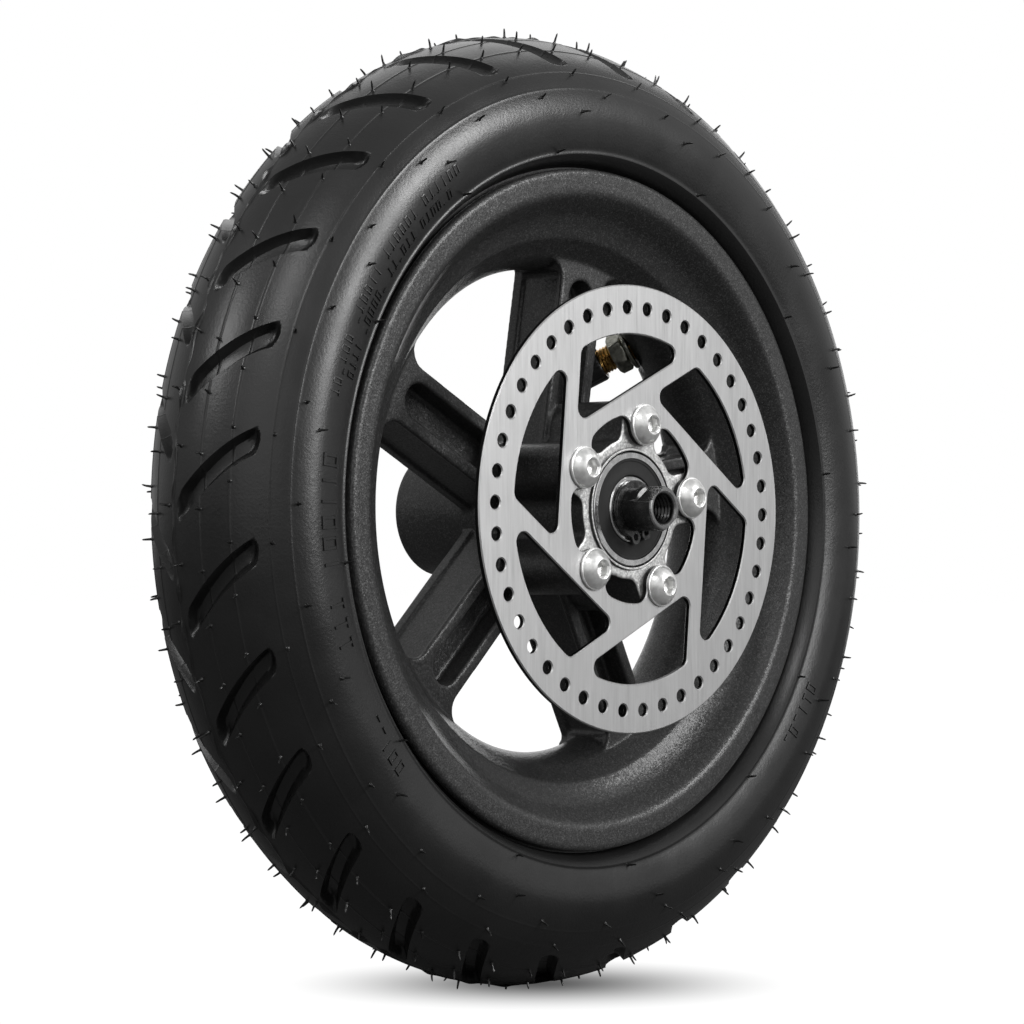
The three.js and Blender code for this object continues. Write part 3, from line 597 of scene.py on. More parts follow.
def crown_section(turn):
    """The tyre's outer face as (radius, distance from the middle plane), for turns of 0 to 90 degrees.

    At 0 it is at its widest, and at 90 on the middle of the tread.
    """
    angle = np.radians(turn)
    power = 2 / TYRE_CROWN_POWER
    rise = np.sin(angle) ** power
    width = np.cos(angle).clip(0) ** power
    radius = TYRE_WIDEST_RADIUS + (TYRE_RADIUS - TYRE_WIDEST_RADIUS) * rise
    return radius, TYRE_HALF_WIDTH * width


def crown_turn(y):
    """The turn at which the crown is this far from the middle plane."""
    return np.degrees(np.arccos((abs(y) / TYRE_HALF_WIDTH) ** (TYRE_CROWN_POWER / 2)))


def wall_width(radius):
    """The sidewall's distance from the middle plane, below the tyre's widest line."""
    drop = (TYRE_WIDEST_RADIUS - radius) / (TYRE_WIDEST_RADIUS - RIM_RADIUS)
    return TYRE_HALF_WIDTH - TYRE_WALL_PULL * drop**2


def tyre_stations():
    """Turns at which the crown is sampled: closer together at ridges and groove ends."""
    line_turns = [crown_turn(y) for y in VENT_LINE_Y]
    tip = crown_turn(GROOVE_TIP_Y)
    root = crown_turn(GROOVE_ROOT_Y)
    turns = list(np.arange(0, 90, 1.8))
    for middle in RIDGE_TURNS + line_turns:
        turns += [middle + step for step in (-1.1, -0.55, -0.25, 0, 0.25, 0.55, 1.1)]
    turns += list(np.arange(tip - 5, tip + 2, 0.4))
    turns += list(np.arange(root - 3, 88.5, 0.7))
    kept = []
    for turn in sorted(turns):
        if not kept or turn - kept[-1] > 0.2:
            kept.append(turn)
    return np.array(kept)


def groove_shift(y):
    """How far a groove has turned round the tyre, in degrees, at a distance from the middle plane."""
    along = (np.abs(y) - GROOVE_ROOT_Y) / (GROOVE_TIP_Y - GROOVE_ROOT_Y)
    return GROOVE_SWEEP * (1 - along.clip(0, 1)) ** 1.15


def waves(angle, first, count, seed):
    """A smooth irregular wave round the tyre, between about -1 and 1."""
    chance = random.Random(seed)
    total = np.zeros_like(angle)
    for i in range(count):
        total += np.sin(np.radians(angle) * (first + 7 * i) + chance.uniform(0, 6.3))
    return total / math.sqrt(count)


def groove_depth(across, past_end):
    """Depth of a groove. Across is in half-widths from its middle, and past_end beyond its ends."""
    distance = np.hypot(across, past_end.clip(0))
    wall = ((1 - distance) / 0.6).clip(0, 1)
    return GROOVE_DEPTH * (1 - (1 - wall) ** 2)


def column_angles():
    """Angles of the tyre's columns of points, with a groove's middle at each half pitch."""
    side = [0.25, 0.5, 0.7, 0.85, 0.94, 1, 1.06, 1.25, 1.55]
    half_pitch = 180 / GROOVES_PER_SIDE
    middle = half_pitch / 2 / GROOVE_HALF_ANGLE
    steps = np.array([-s for s in reversed(side)] + [0] + side + [middle])
    starts = np.array(around(2 * GROOVES_PER_SIDE))
    return (starts[:, None] + steps * GROOVE_HALF_ANGLE).ravel()


def tyre_shell():
    """The tyre's whole surface: rows of points across its section, columns round the axle."""
    turns = tyre_stations()
    past_ridge = np.array([0, 0.2, 0.4, 0.6, 0.85, 1.15, 1.5])
    wall = np.concatenate([BEAD_RIDGE_RADIUS + past_ridge, np.arange(82.3, TYRE_WIDEST_RADIUS, 0.6)])
    foot = [(77.5, 16.35), (77.75, 17), (78.4, 18.6), (79.2, 19.85), (79.75, 20.6), (80.0, 20.85)]
    crown_radius, crown_y = crown_section(turns)
    radius = np.concatenate([[p[0] for p in foot], wall, crown_radius])
    width = np.concatenate([[p[1] for p in foot], wall_width(wall), crown_y])
    ridge = np.exp(-(((radius - BEAD_RIDGE_RADIUS) / 0.5) ** 2))
    width[len(foot) :] += 0.4 * ridge[len(foot) :]

    bead = [(BEAD_SEAT_RADIUS + 0.35, 16.35), (BEAD_SEAT_RADIUS + 0.35, 11.5)]
    cavity = arc((CAVITY_CENTRE, 0), CAVITY_RADIUS, 139, 0, 16)
    inner = np.vstack([soften([foot[0], *bead, cavity[0]], 1, closed=False)[1:-1], cavity])

    near = np.column_stack([radius, -width])
    centre = np.array([[TYRE_RADIUS, y] for y in (-0.45, -0.16, -0.1, 0, 0.1, 0.16, 0.45)])
    far = np.column_stack([radius, width])[::-1]
    inner_near = inner[::-1][1:] * [1, -1]
    section = np.vstack([near, centre, far, inner, inner_near])

    outer = len(near) + len(centre) + len(far)
    y = section[:, 1]
    columns = column_angles()
    is_outer = np.arange(len(section)) < outer
    shift = np.where(is_outer, groove_shift(y), 0.0)
    angle = GROOVE_TIP_ANGLE + columns[None, :] + shift[:, None]

    ahead = np.roll(section, -1, axis=0) - np.roll(section, 1, axis=0)
    normal = np.column_stack([ahead[:, 1], -ahead[:, 0]])
    normal /= np.linalg.norm(normal, axis=1)[:, None]
    lift = relief(section, columns, angle, outer)
    r = section[:, 0][:, None] + normal[:, 0][:, None] * lift
    depth = y[:, None] + normal[:, 1][:, None] * lift
    middle = np.exp(-((y / 0.6) ** 2)) * is_outer
    depth += 0.35 * middle[:, None] * waves(angle, 19, 9, seed=4)

    xz = polar(r, angle)
    rings = np.stack([xz[..., 0], depth, xz[..., 1]], axis=-1)
    return skin(rings, closed=True)


def relief(section, columns, angle, outer):
    """Height of the tyre's surface over its plain section, in millimetres."""
    radius, y = section[:outer].T
    lift = np.zeros((len(section), len(columns)))
    pitch = 360 / GROOVES_PER_SIDE
    crown = (radius > TYRE_WIDEST_RADIUS) & (np.abs(y) > 0.5)
    tip_reach = 0.55 * GROOVE_HALF_WIDTH
    root_reach = 0.75 * GROOVE_HALF_WIDTH
    past_tip = (np.abs(y) - (GROOVE_TIP_Y - tip_reach)) / tip_reach
    past_root = (GROOVE_ROOT_Y + root_reach - np.abs(y)) / root_reach
    past_end = np.maximum(past_tip, past_root)
    for sign, start in ((-1, 0), (1, pitch / 2)):
        across = ((columns - start + pitch / 2) % pitch - pitch / 2) / GROOVE_HALF_ANGLE
        rows = np.flatnonzero(crown & (np.sign(y) == sign))
        lift[rows] -= groove_depth(across[None, :], past_end[rows][:, None])

    lines = [(crown_section(turn)[1], 0.1, 0.06) for turn in RIDGE_TURNS]
    lines += [(line_y, 0.12, 0.12) for line_y in VENT_LINE_Y]
    for line_y, width, height in lines:
        near_line = np.exp(-(((np.abs(y) - line_y) / width) ** 2)) * crown
        lift[:outer] += height * near_line[:, None]
    flash = np.exp(-((y / 0.14) ** 2)) * (np.abs(y) < 0.3)
    upper_left = 0.5 + 0.5 * np.cos(np.radians(angle[:outer] - 150))
    height = 0.3 + 0.35 * waves(angle[:outer], 31, 11, seed=9)
    from_root = (angle[:outer] - GROOVE_TIP_ANGLE - GROOVE_SWEEP + pitch / 4) % (pitch / 2) - pitch / 4
    height += 0.35 * np.exp(-((from_root / 0.9) ** 2))
    lift[:outer] += flash[:, None] * height.clip(0.05, 1.1) * (0.3 + 0.7 * upper_left)
    return lift


def tyre_point(y, degrees):
    """A point on the tread and the direction out of it."""
    turn = crown_turn(y)
    radius, width = crown_section(turn)
    next_radius, next_width = crown_section(turn + 0.5)
    sign = 1 if y > 0 else -1
    out = np.array([width - next_width, next_radius - radius])
    out /= np.linalg.norm(out)
    across, upward = polar(1, degrees)
    point = np.array([radius * across, sign * width, radius * upward])
    normal = np.array([out[0] * across, sign * out[1], out[0] * upward])
    return point, normal


def wall_point(radius, side, degrees):
    """A point on the sidewall and the direction out of it."""
    width = wall_width(radius) if radius < TYRE_WIDEST_RADIUS else TYRE_HALF_WIDTH - 0.2
    across, upward = polar(1, degrees)
    point = np.array([radius * across, side * width, radius * upward])
    return point, np.array([0, side, 0.0])


def whisker(point, normal, chance, shortest=1.7, longest=2.5):
    """A rubber hair left by a mould vent: a bent, tapering peg that starts inside the tyre."""
    length = chance.uniform(shortest, longest)
    lean = np.array([chance.uniform(-1, 1) for _ in range(3)])
    lean -= normal * lean.dot(normal)
    side = np.cross(normal, [0.31, 0.77, 0.56])
    side /= np.linalg.norm(side)
    other = np.cross(normal, side)
    rings = []
    for share, radius in ((-0.15, 0.62), (0.02, 0.5), (0.12, 0.28), (0.5, 0.24), (0.85, 0.19), (1, 0.0)):
        middle = point + normal * length * share + lean * length * 0.16 * max(share, 0) ** 2
        angles = np.radians(around(7))
        rings.append(middle + radius * (np.outer(np.cos(angles), side) + np.outer(np.sin(angles), other)))
    points, faces = skin(rings[:-1], closed=False)
    tip = len(points)
    last = tip - 7
    cap = np.array([[last + i, last + (i + 1) % 7, tip] for i in range(7)])
    base = np.array([[i, (i + 1) % 7, tip + 1] for i in range(7)])
    points = np.vstack([points, rings[-1][:1], rings[0].mean(axis=0)])
    return [(points, faces), (points, cap), (points, base)]


def tread_whiskers(chance):
    """Whiskers on both sides of each groove, at its tip and along the shoulder."""
    pitch = 360 / GROOVES_PER_SIDE
    shells = []
    for sign, start in ((-1, 0), (1, pitch / 2)):
        for tip_angle in around(GROOVES_PER_SIDE, GROOVE_TIP_ANGLE + start):
            for y in VENT_LINE_Y:
                for side in (-0.235, 0.235):
                    angle = tip_angle + float(groove_shift(np.array(y))) + side * pitch
                    shells += whisker(*tyre_point(sign * y, angle), chance)
            shells += whisker(*tyre_point(sign * 1.6, tip_angle + GROOVE_SWEEP + 0.45 * pitch), chance)
            shells += whisker(*tyre_point(sign * 18.4, tip_angle - 0.06 * pitch), chance)
            shells += whisker(*tyre_point(sign * 21.1, tip_angle - 0.42 * pitch), chance)
    return shells


def wall_whiskers(chance):
    shells = []
    for side in (-1, 1):
        for angle in around(14, 20):
            place = wall_point(89.5, side, angle + chance.uniform(-4, 4))
            shells += whisker(*place, chance, 2.4, 3.2)
        for angle in around(12, 5):
            place = wall_point(81, side, angle + chance.uniform(-6, 6))
            shells += whisker(*place, chance, 2.0, 2.8)
    return shells


def raised_bar(side, degrees, radius, length, width):
    """A small raised block on the sidewall, with a smaller top. Its length runs round the tyre."""
    levels = []
    for lift, shrink in ((-0.4, 1.0), (0.16, 1.0), (0.28, 0.7)):
        ring_points = []
        for along, out in ((-1, -1), (1, -1), (1, 1), (-1, 1)):
            r = radius + out * (width / 2 - (1 - shrink) * 0.2)
            turn = degrees + math.degrees(along * (length / 2 - (1 - shrink) * 0.2) / radius)
            point, normal = wall_point(r, side, turn)
            ring_points.append(point + normal * lift)
        levels.append(np.array(ring_points))
    points, faces = skin(levels, closed=False)
    ends = np.array([[0, 1, 2, 3], [8, 9, 10, 11]])
    return [(points, faces), (points, ends)]


def raised_frame(side, degrees, radius, length, width, stroke):
    """A raised rectangular outline on the sidewall."""
    half_turn = math.degrees((length - stroke) / 2 / radius)
    half_width = (width - stroke) / 2
    shells = []
    for sign in (-1, 1):
        shells += raised_bar(side, degrees + sign * half_turn, radius, stroke, width)
        shells += raised_bar(side, degrees, radius + sign * half_width, length, stroke)
    return shells


def row_of_marks(side, start, end, radius, height, chance):
    """A row of small raised bars and outlines, with a gap now and then, where a tyre has its rating."""
    pitch = math.degrees(0.95 * height / radius)
    shells = []
    for i, turn in enumerate(np.arange(start, end, pitch)):
        kind = chance.choice(["frame", "frame", "bar", "low", "tee"])
        stroke = 0.15 * height
        if i % 7 == 6:
            continue
        if kind == "frame":
            shells += raised_frame(side, turn, radius, 0.6 * height, height, stroke)
        if kind in ("bar", "tee"):
            shells += raised_bar(side, turn, radius, stroke, height)
        if kind in ("low", "tee"):
            shells += raised_bar(side, turn, radius - 0.43 * height, 0.5 * height, stroke)
    return shells


def wall_marks(chance):
    """Plain raised marks on the sidewall: one coarse row, two fine ones and two short ones."""
    shells = []
    for side in (-1, 1):
        shells += row_of_marks(side, 174, 201, 85.6, 4.5, chance)
        shells += row_of_marks(side, 124, 165, 87.1, 2.5, chance)
        shells += row_of_marks(side, 127, 162, 83.6, 2.2, chance)
        shells += row_of_marks(side, 320, 331, 85.4, 3.2, chance)
        shells += row_of_marks(side, 212, 222, 85.4, 3.2, chance)
    return shells


def build_tyre():
    chance = random.Random(11)
    extras = tread_whiskers(chance) + wall_whiskers(chance) + wall_marks(chance)
    mesh = joined(mesh_of("tyre_moulded", [tyre_shell()]), mesh_of("tyre_details", extras))
    piece("tyre_moulded", mesh, "tyre_rubber", "wheel", ["tyre"], sharp=40)


def build_inner_tube():
    radius = CAVITY_RADIUS - 1.3
    skins = []
    for inset in (0.0, 1.5):
        neck = 6.6 - inset
        foot = WELL_RADIUS + 1.3 + inset
        open_angle = math.degrees(math.asin(neck / (radius - inset)))
        crown = arc((CAVITY_CENTRE, 0), radius - inset, 180 - open_angle, open_angle - 180, 40)
        corners = [(foot, -neck + 1.4), (foot, neck - 1.4)]
        skins.append(lathe(soften(np.vstack([crown, corners]), 1), 120))
    mesh = mesh_of("inner_tube_rubber", skins)
    piece("inner_tube_rubber", mesh, "tube_rubber", "wheel", ["inner_tube"])


# ---------------------------------------------------------------- wheel casting


def window_wall(rounding, start, side, last_turn):
    """One side of the rounded window wall as (radius, y) points, from the throat outwards."""
    turns = np.radians(np.linspace(6, last_turn, 14))
    radius = THROAT_RADIUS + rounding * (1 - np.cos(turns))
    return np.column_stack([radius, start + side * rounding * np.sin(turns)])


def rim_profile():
    """The rim's closed section, from the window over the lip to the bead seat and the well."""
    flange_y = RIM_HALF_WIDTH - FLANGE_THICKNESS
    side = [
        (64.8, 12.7),
        (67, 14.4),
        (69.6, 17.6),
        (LIP_INNER_RADIUS - 0.6, RIM_HALF_WIDTH - 0.4),
        (LIP_INNER_RADIUS + 0.4, RIM_HALF_WIDTH),
        (RIM_RADIUS - 0.7, RIM_HALF_WIDTH),
        (RIM_RADIUS, RIM_HALF_WIDTH - 0.8),
        (RIM_RADIUS, flange_y + 0.3),
        (BEAD_SEAT_RADIUS, flange_y),
        (BEAD_SEAT_RADIUS, 11.2),
        (WELL_RADIUS, WELL_HALF_WIDTH),
    ]
    mirrored = [(radius, -y) for radius, y in reversed(side)]
    corners = soften([(62.3, 11.5), *side, *mirrored, (62, -11.2)], 0.9, steps=4, closed=False)
    near = window_wall(NEAR_WALL_ROUNDING, NEAR_WALL_START, -1, 44)
    far = window_wall(FAR_WALL_ROUNDING, 0, 1, 40)
    return np.vstack([far, corners, near[::-1]])


def valve_axes():
    """Where the valve's axis meets the rim, and the axis's direction into the window."""
    tilt = math.radians(VALVE_TILT)
    inward = polar(-math.cos(tilt), VALVE_ANGLE)
    wall = polar(VALVE_WALL_RADIUS, VALVE_ANGLE)
    return np.array([wall[0], VALVE_WALL_Y, wall[1]]), np.array([inward[0], math.sin(tilt), inward[1]])


def spot_faced(shell):
    """The rim pressed flat round the valve, where its washer lies."""
    points, faces = shell
    wall, axis = valve_axes()
    height = (points - wall) @ axis
    distance = np.linalg.norm(points - wall - np.outer(height, axis), axis=1)
    pressed = (height > 0) & (height < 4) & (distance < VALVE_SEAT_RADIUS)
    made = points.copy()
    made[pressed] -= np.outer(height[pressed], axis)
    return made, faces


def hub_profile():
    """The hub barrel's closed section, with a seat for each bearing."""
    seat = BEARING_RADIUS + 0.15
    near_end = high("bearing_outer_ring_disc_side")[1] + 0.1
    far_end = low("bearing_outer_ring_far_side")[1] - 0.1
    return [
        (seat + 0.5, STAR_FACE_Y),
        (STAR_RADIUS - 0.6, STAR_FACE_Y),
        (HUB_RADIUS, SPOKE_FRONT_Y),
        (HUB_RADIUS, HUB_FAR_Y - 0.6),
        (HUB_RADIUS - 0.6, HUB_FAR_Y),
        (seat, HUB_FAR_Y),
        (seat, far_end),
        (seat - 1.1, far_end),
        (seat - 1.1, near_end),
        (seat + 0.5, near_end),
    ]


def spoke_outline(half_width, wall_radius, fillet):
    """A spoke along +X, from inside the hub to inside the rim, with a fillet on each side at its end."""
    start = HUB_RADIUS - 1.5
    rise = half_width + fillet
    centre = (math.sqrt((wall_radius - fillet) ** 2 - rise**2), rise)
    spread = angle_of(centre)
    side = np.vstack([(start, half_width), arc(centre, fillet, -90, spread, 8)])
    end = arc((0, 0), WELL_RADIUS - 0.5, -spread, spread, 8)
    return np.vstack([side * [1, -1], end, side[::-1]])


def pocket_outline():
    """The sunk pocket in a spoke's face, with round ends."""
    radius = POCKET_HALF_WIDTH
    outer = (POCKET_OUTER_RADIUS - radius, 0)
    inner = (POCKET_INNER_RADIUS + radius, 0)
    return np.vstack([arc(outer, radius, -90, 90, 16), arc(inner, radius, 90, 270, 16)])


def star_outline():
    """The face that carries the disc: a ring with an arm for each bolt, and fillets between them."""
    reach = STAR_RADIUS + STAR_FILLET
    rise = ARM_HALF_WIDTH + STAR_FILLET
    fillet_angle = math.degrees(math.asin(rise / reach))
    fillet_x = math.sqrt(reach**2 - rise**2)
    pitch = 360 / SPOKES
    arm = np.vstack([
        arc((BOLT_CIRCLE, 0), ARM_HALF_WIDTH, -90, 90, 20),
        arc((fillet_x, rise), STAR_FILLET, -90, fillet_angle - 180, 8),
        arc((0, 0), STAR_RADIUS, fillet_angle, pitch - fillet_angle, 8)[1:-1],
    ])
    next_fillet = arc((fillet_x, -rise), STAR_FILLET, 180 - fillet_angle, 90, 8)
    arm = np.vstack([arm, turned_by(next_fillet, pitch)])
    return np.vstack([turned_by(arm, angle) for angle in around(SPOKES)])


def spoke_shells():
    """A spoke as layers: two flanges and a web, with a pocket in each face and both sides sunk."""
    front = spoke_outline(SPOKE_HALF_WIDTH, SPOKE_FRONT_END, SPOKE_FRONT_FILLET)
    back = spoke_outline(SPOKE_HALF_WIDTH, SPOKE_BACK_END, SPOKE_BACK_FILLET)
    sunk = spoke_outline(SPOKE_HALF_WIDTH - SPOKE_SIDE_RECESS, THROAT_RADIUS, SPOKE_BACK_FILLET)
    pocket = [pocket_outline()]
    web_front = (SPOKE_FRONT_Y + SPOKE_BACK_Y - SPOKE_WEB) / 2
    web_back = web_front + SPOKE_WEB
    lap = 0.3
    layers = [
        (front, pocket, SPOKE_FRONT_Y, SPOKE_FRONT_Y + SPOKE_FRONT_FLANGE),
        (sunk, pocket, SPOKE_FRONT_Y + SPOKE_FRONT_FLANGE - lap, web_front + lap),
        (sunk, [], web_front, web_back),
        (sunk, pocket, web_back - lap, SPOKE_BACK_Y - SPOKE_BACK_FLANGE + lap),
        (back, pocket, SPOKE_BACK_Y - SPOKE_BACK_FLANGE, SPOKE_BACK_Y),
    ]
    return [shell for layer in layers for shell in plate(*layer, 0.1)]


def casting_shells():
    bolt_holes = [circle(BOLT_HOLE_RADIUS, 32, polar(BOLT_CIRCLE, angle)) for angle in around(SPOKES)]
    bore = circle(BEARING_RADIUS + 0.3, 96)
    star = plate(star_outline(), [bore, *bolt_holes], STAR_FACE_Y, SPOKE_FRONT_Y + 1, 0.1)
    shells = [lathe(rim_profile(), 256), lathe(hub_profile(), 128), *star]
    for angle in around(SPOKES):
        shells += [spun(shell, angle) for shell in spoke_shells()]
    return [spot_faced(spun(shell, SPOKE_ANGLE)) for shell in shells]


def boss_shell():
    """The machined boss round the bearing, with a chamfer at its outer edge and in its mouth."""
    seat = BEARING_RADIUS + 0.12
    edge = 0.1
    profile = [
        (seat, BOSS_FACE_Y + edge),
        (seat + edge, BOSS_FACE_Y),
        (BOSS_RADIUS - edge, BOSS_FACE_Y),
        (BOSS_RADIUS, BOSS_FACE_Y + edge),
        (BOSS_RADIUS, STAR_FACE_Y + 1),
        (seat, STAR_FACE_Y + 1),
    ]
    return lathe(soften(profile, 0.04, steps=2), 192)


def fused(name, shells):
    """Overlapping shells as one cast body, whose corners are rounded by smoothing."""
    voxel = CAST_VOXEL
    rough = linked(name, mesh_of(name, shells))
    remesh = rough.modifiers.new("fuse", "REMESH")
    remesh.mode = "VOXEL"
    remesh.voxel_size = voxel * MM
    smooth = rough.modifiers.new("soften", "SMOOTH")
    smooth.factor = 0.5
    smooth.iterations = CAST_SMOOTHING
    ready = rough.evaluated_get(bpy.context.evaluated_depsgraph_get())
    mesh = bpy.data.meshes.new_from_object(ready)
    bpy.data.objects.remove(rough)
    return mesh


def build_casting():
    cast = fused("wheel_cast", casting_shells())
    mesh = joined(cast, mesh_of("boss", [boss_shell()]))
    piece("wheel_cast", mesh, "powder_coat", "wheel", ["wheel_casting"], sharp=60)


# ---------------------------------------------------------------- brake disc and bolts


def line_corner(normal_a, distance_a, normal_b, distance_b):
    """Where two lines meet, each given by the angle of its normal and its distance from the axle."""
    lines = np.array([polar(1, normal_a), polar(1, normal_b)])
    return np.linalg.solve(lines, [distance_a, distance_b])


def line_end(normal, distance, radius):
    """Where a line leaves a circle round the axle, on the clockwise side."""
    return polar(distance, normal) + polar(math.sqrt(radius**2 - distance**2), normal - 90)


def disc_window(near_normal):
    """One window, bounded by two straight arms and the friction ring, with filleted corners."""
    far_normal = near_normal + 60
    near_line = WINDOW_NEAR_LINE + WINDOW_FILLET
    far_line = WINDOW_FAR_LINE - WINDOW_FILLET
    inner = WINDOW_OUTER_RADIUS - WINDOW_FILLET
    corner = line_corner(near_normal, near_line, far_normal, far_line)
    trailing = line_end(near_normal, near_line, inner)
    leading = line_end(far_normal, far_line, inner)
    start = angle_of(trailing)
    end = start + (angle_of(leading) - start) % 360
    first = near_normal - 180
    trailing_stop = first + (start - first) % 360
    leading_stop = end + (far_normal - end) % 360
    return np.vstack([
        arc(trailing, WINDOW_FILLET, first, trailing_stop, 10),
        arc((0, 0), WINDOW_OUTER_RADIUS, start, end, 24)[1:-1],
        arc(leading, WINDOW_FILLET, end, leading_stop, 10),
        arc(corner, WINDOW_FILLET, far_normal, near_normal + 180, 10),
    ])


def disc_inner_edge():
    """The disc's inner edge: a nose round each bolt, and a scallop between two noses."""
    reach = SCALLOP_RADIUS - SCALLOP_FILLET
    apart = LAND_NOSE_RADIUS + SCALLOP_FILLET
    x = (reach**2 + BOLT_CIRCLE**2 - apart**2) / (2 * BOLT_CIRCLE)
    z = math.sqrt(reach**2 - x**2)
    fillet_angle = angle_of((x, z))
    nose_angle = angle_of((x - BOLT_CIRCLE, z))
    pitch = 360 / SPOKES
    edge = []
    for angle in around(SPOKES, SPOKE_ANGLE):
        start = angle + fillet_angle
        end = angle + pitch - fillet_angle
        turn = start + 180 - angle - nose_angle
        nose = (angle + 360 - nose_angle, angle + nose_angle)
        edge += [
            arc(polar(BOLT_CIRCLE, angle), LAND_NOSE_RADIUS, *nose, 24)[1:-1],
            arc(polar(reach, start), SCALLOP_FILLET, angle + nose_angle + 180, start + 360, 8),
            arc((0, 0), SCALLOP_RADIUS, start, end, 16)[1:-1],
            arc(polar(reach, end), SCALLOP_FILLET, end, end + turn, 8),
        ]
    return np.vstack(edge)


def build_disc():
    vents = [circle(VENT_RADIUS, 28, polar(VENT_CIRCLE, a)) for a in around(VENT_HOLES, VENT_ANGLE)]
    bolts = [circle(BOLT_HOLE_RADIUS, 28, polar(BOLT_CIRCLE, a)) for a in around(SPOKES, SPOKE_ANGLE)]
    windows = [disc_window(angle) for angle in around(WINDOWS, WINDOW_ANGLE)]
    holes = [disc_inner_edge(), *vents, *bolts, *windows]
    shells = plate(circle(DISC_RADIUS, 240), holes, DISC_FRONT_Y, DISC_BACK_Y, DISC_BEVEL)
    mesh = mesh_of("brake_disc_ground", shells)
    piece("brake_disc_ground", mesh, "disc_steel", "wheel", ["brake_disc"])


def hexagon(flats, segments):
    """The radius of a hexagon, by its distance across flats, at equally spaced angles."""
    angles = np.linspace(0, 360, segments, endpoint=False)
    return flats / 2 / np.cos(np.radians((angles + 30) % 60 - 30))


def build_bolts():
    segments = 72
    under = DISC_FRONT_Y - 0.05
    top = low("disc_bolt_1")[1]
    socket = hexagon(BOLT_SOCKET_FLATS, segments)
    head = [
        (BOLT_SHANK_RADIUS, under),
        (BOLT_HEAD_RADIUS - 0.1, under),
        (BOLT_HEAD_RADIUS, under - 0.1),
        (BOLT_HEAD_RADIUS, under - 0.45),
        (BOLT_HEAD_RADIUS - 0.12, under - 0.58),
    ]
    slopes = np.radians(np.linspace(BOLT_DOME_SLOPE, 26, 10))
    dome_radius = (BOLT_HEAD_RADIUS - 0.25) / math.sin(slopes[0])
    crown = top + dome_radius * math.cos(slopes[-1])
    dome = [(dome_radius * math.sin(slope), crown - dome_radius * math.cos(slope)) for slope in slopes]
    shank = [(0, under + BOLT_LENGTH), (1.9, under + BOLT_LENGTH), (2.4, under + BOLT_LENGTH - 0.5)]
    recess = [
        (2.08, top + 0.02),
        (socket + 0.12, top + 0.3),
        (socket, top + 0.42),
        (socket, top + 1.7),
        (socket * 0.55, top + 2.0),
        (0.0, top + 2.15),
    ]
    rings = rings_at(shank + head + dome + recess, segments)
    shell = skin(rings, closed=False)
    for i, angle in enumerate(around(SPOKES, SPOKE_ANGLE)):
        across, upward = polar(BOLT_CIRCLE, angle)
        placed = moved(spun(shell, 17 * i), (across, 0, upward))
        name = f"button_bolt_{i + 1}"
        mesh = mesh_of(name, [placed])
        piece(name, mesh, "bolt_steel", "wheel", [f"disc_bolt_{i + 1}"], sharp=28)


# ---------------------------------------------------------------- bearings


def ball_groove(groove_radius, shoulder, outward):
    """The curved middle of a race's section, from one shoulder to the other."""
    half_width = math.sqrt(groove_radius**2 - (shoulder - BALL_CIRCLE) ** 2)
    steps = np.linspace(-half_width, half_width, 15)
    return [(BALL_CIRCLE + outward * math.sqrt(groove_radius**2 - y**2), y) for y in steps]


def outer_race():
    half = BEARING_HALF_WIDTH
    relieved = BEARING_RADIUS - 0.2
    edge = 0.15
    profile = [
        (relieved - edge, half),
        (relieved, half - edge),
        (relieved, half - 0.9),
        (BEARING_RADIUS, half - 1.1),
        (BEARING_RADIUS, 1.1 - half),
        (relieved, 0.9 - half),
        (relieved, edge - half),
        (relieved - edge, -half),
        (SEAL_SEAT_RADIUS, -half),
        (SEAL_SEAT_RADIUS, -SEAL_SEAT_Y),
        (OUTER_RING_SHOULDER, -SEAL_SEAT_Y),
        *ball_groove(2.62, OUTER_RING_SHOULDER, 1),
        (OUTER_RING_SHOULDER, SEAL_SEAT_Y),
        (SEAL_SEAT_RADIUS, SEAL_SEAT_Y),
        (SEAL_SEAT_RADIUS, half),
    ]
    return lathe(profile, 128)


def inner_race():
    half = BEARING_HALF_WIDTH
    edge = 0.25
    profile = [
        (BEARING_BORE, half - edge),
        (BEARING_BORE, edge - half),
        (BEARING_BORE + edge, -half),
        (INNER_RING_RADIUS - edge, -half),
        (INNER_RING_RADIUS, edge - half),
        *ball_groove(2.5, INNER_RING_RADIUS, -1),
        (INNER_RING_RADIUS, half - edge),
        (INNER_RING_RADIUS - edge, half),
        (BEARING_BORE + edge, half),
    ]
    return lathe(profile, 128)


def seal_shell(outward):
    """A seal with a raised lip at its inner edge and a shallow channel round its middle."""
    inner = INNER_RING_RADIUS + 0.2
    outer = SEAL_SEAT_RADIUS - 0.1
    face = BEARING_HALF_WIDTH - 0.15
    back = SEAL_SEAT_Y + 0.1
    profile = [
        (inner, back),
        (outer, back),
        (outer, face - 0.1),
        (outer - 0.12, face),
        (outer - 0.5, face),
        (outer - 0.65, face - 0.14),
        (inner + 1.1, face - 0.14),
        (inner + 0.9, face - 0.02),
        (inner + 0.15, face),
        (inner, face - 0.15),
    ]
    return lathe([(radius, outward * y) for radius, y in profile], 128)


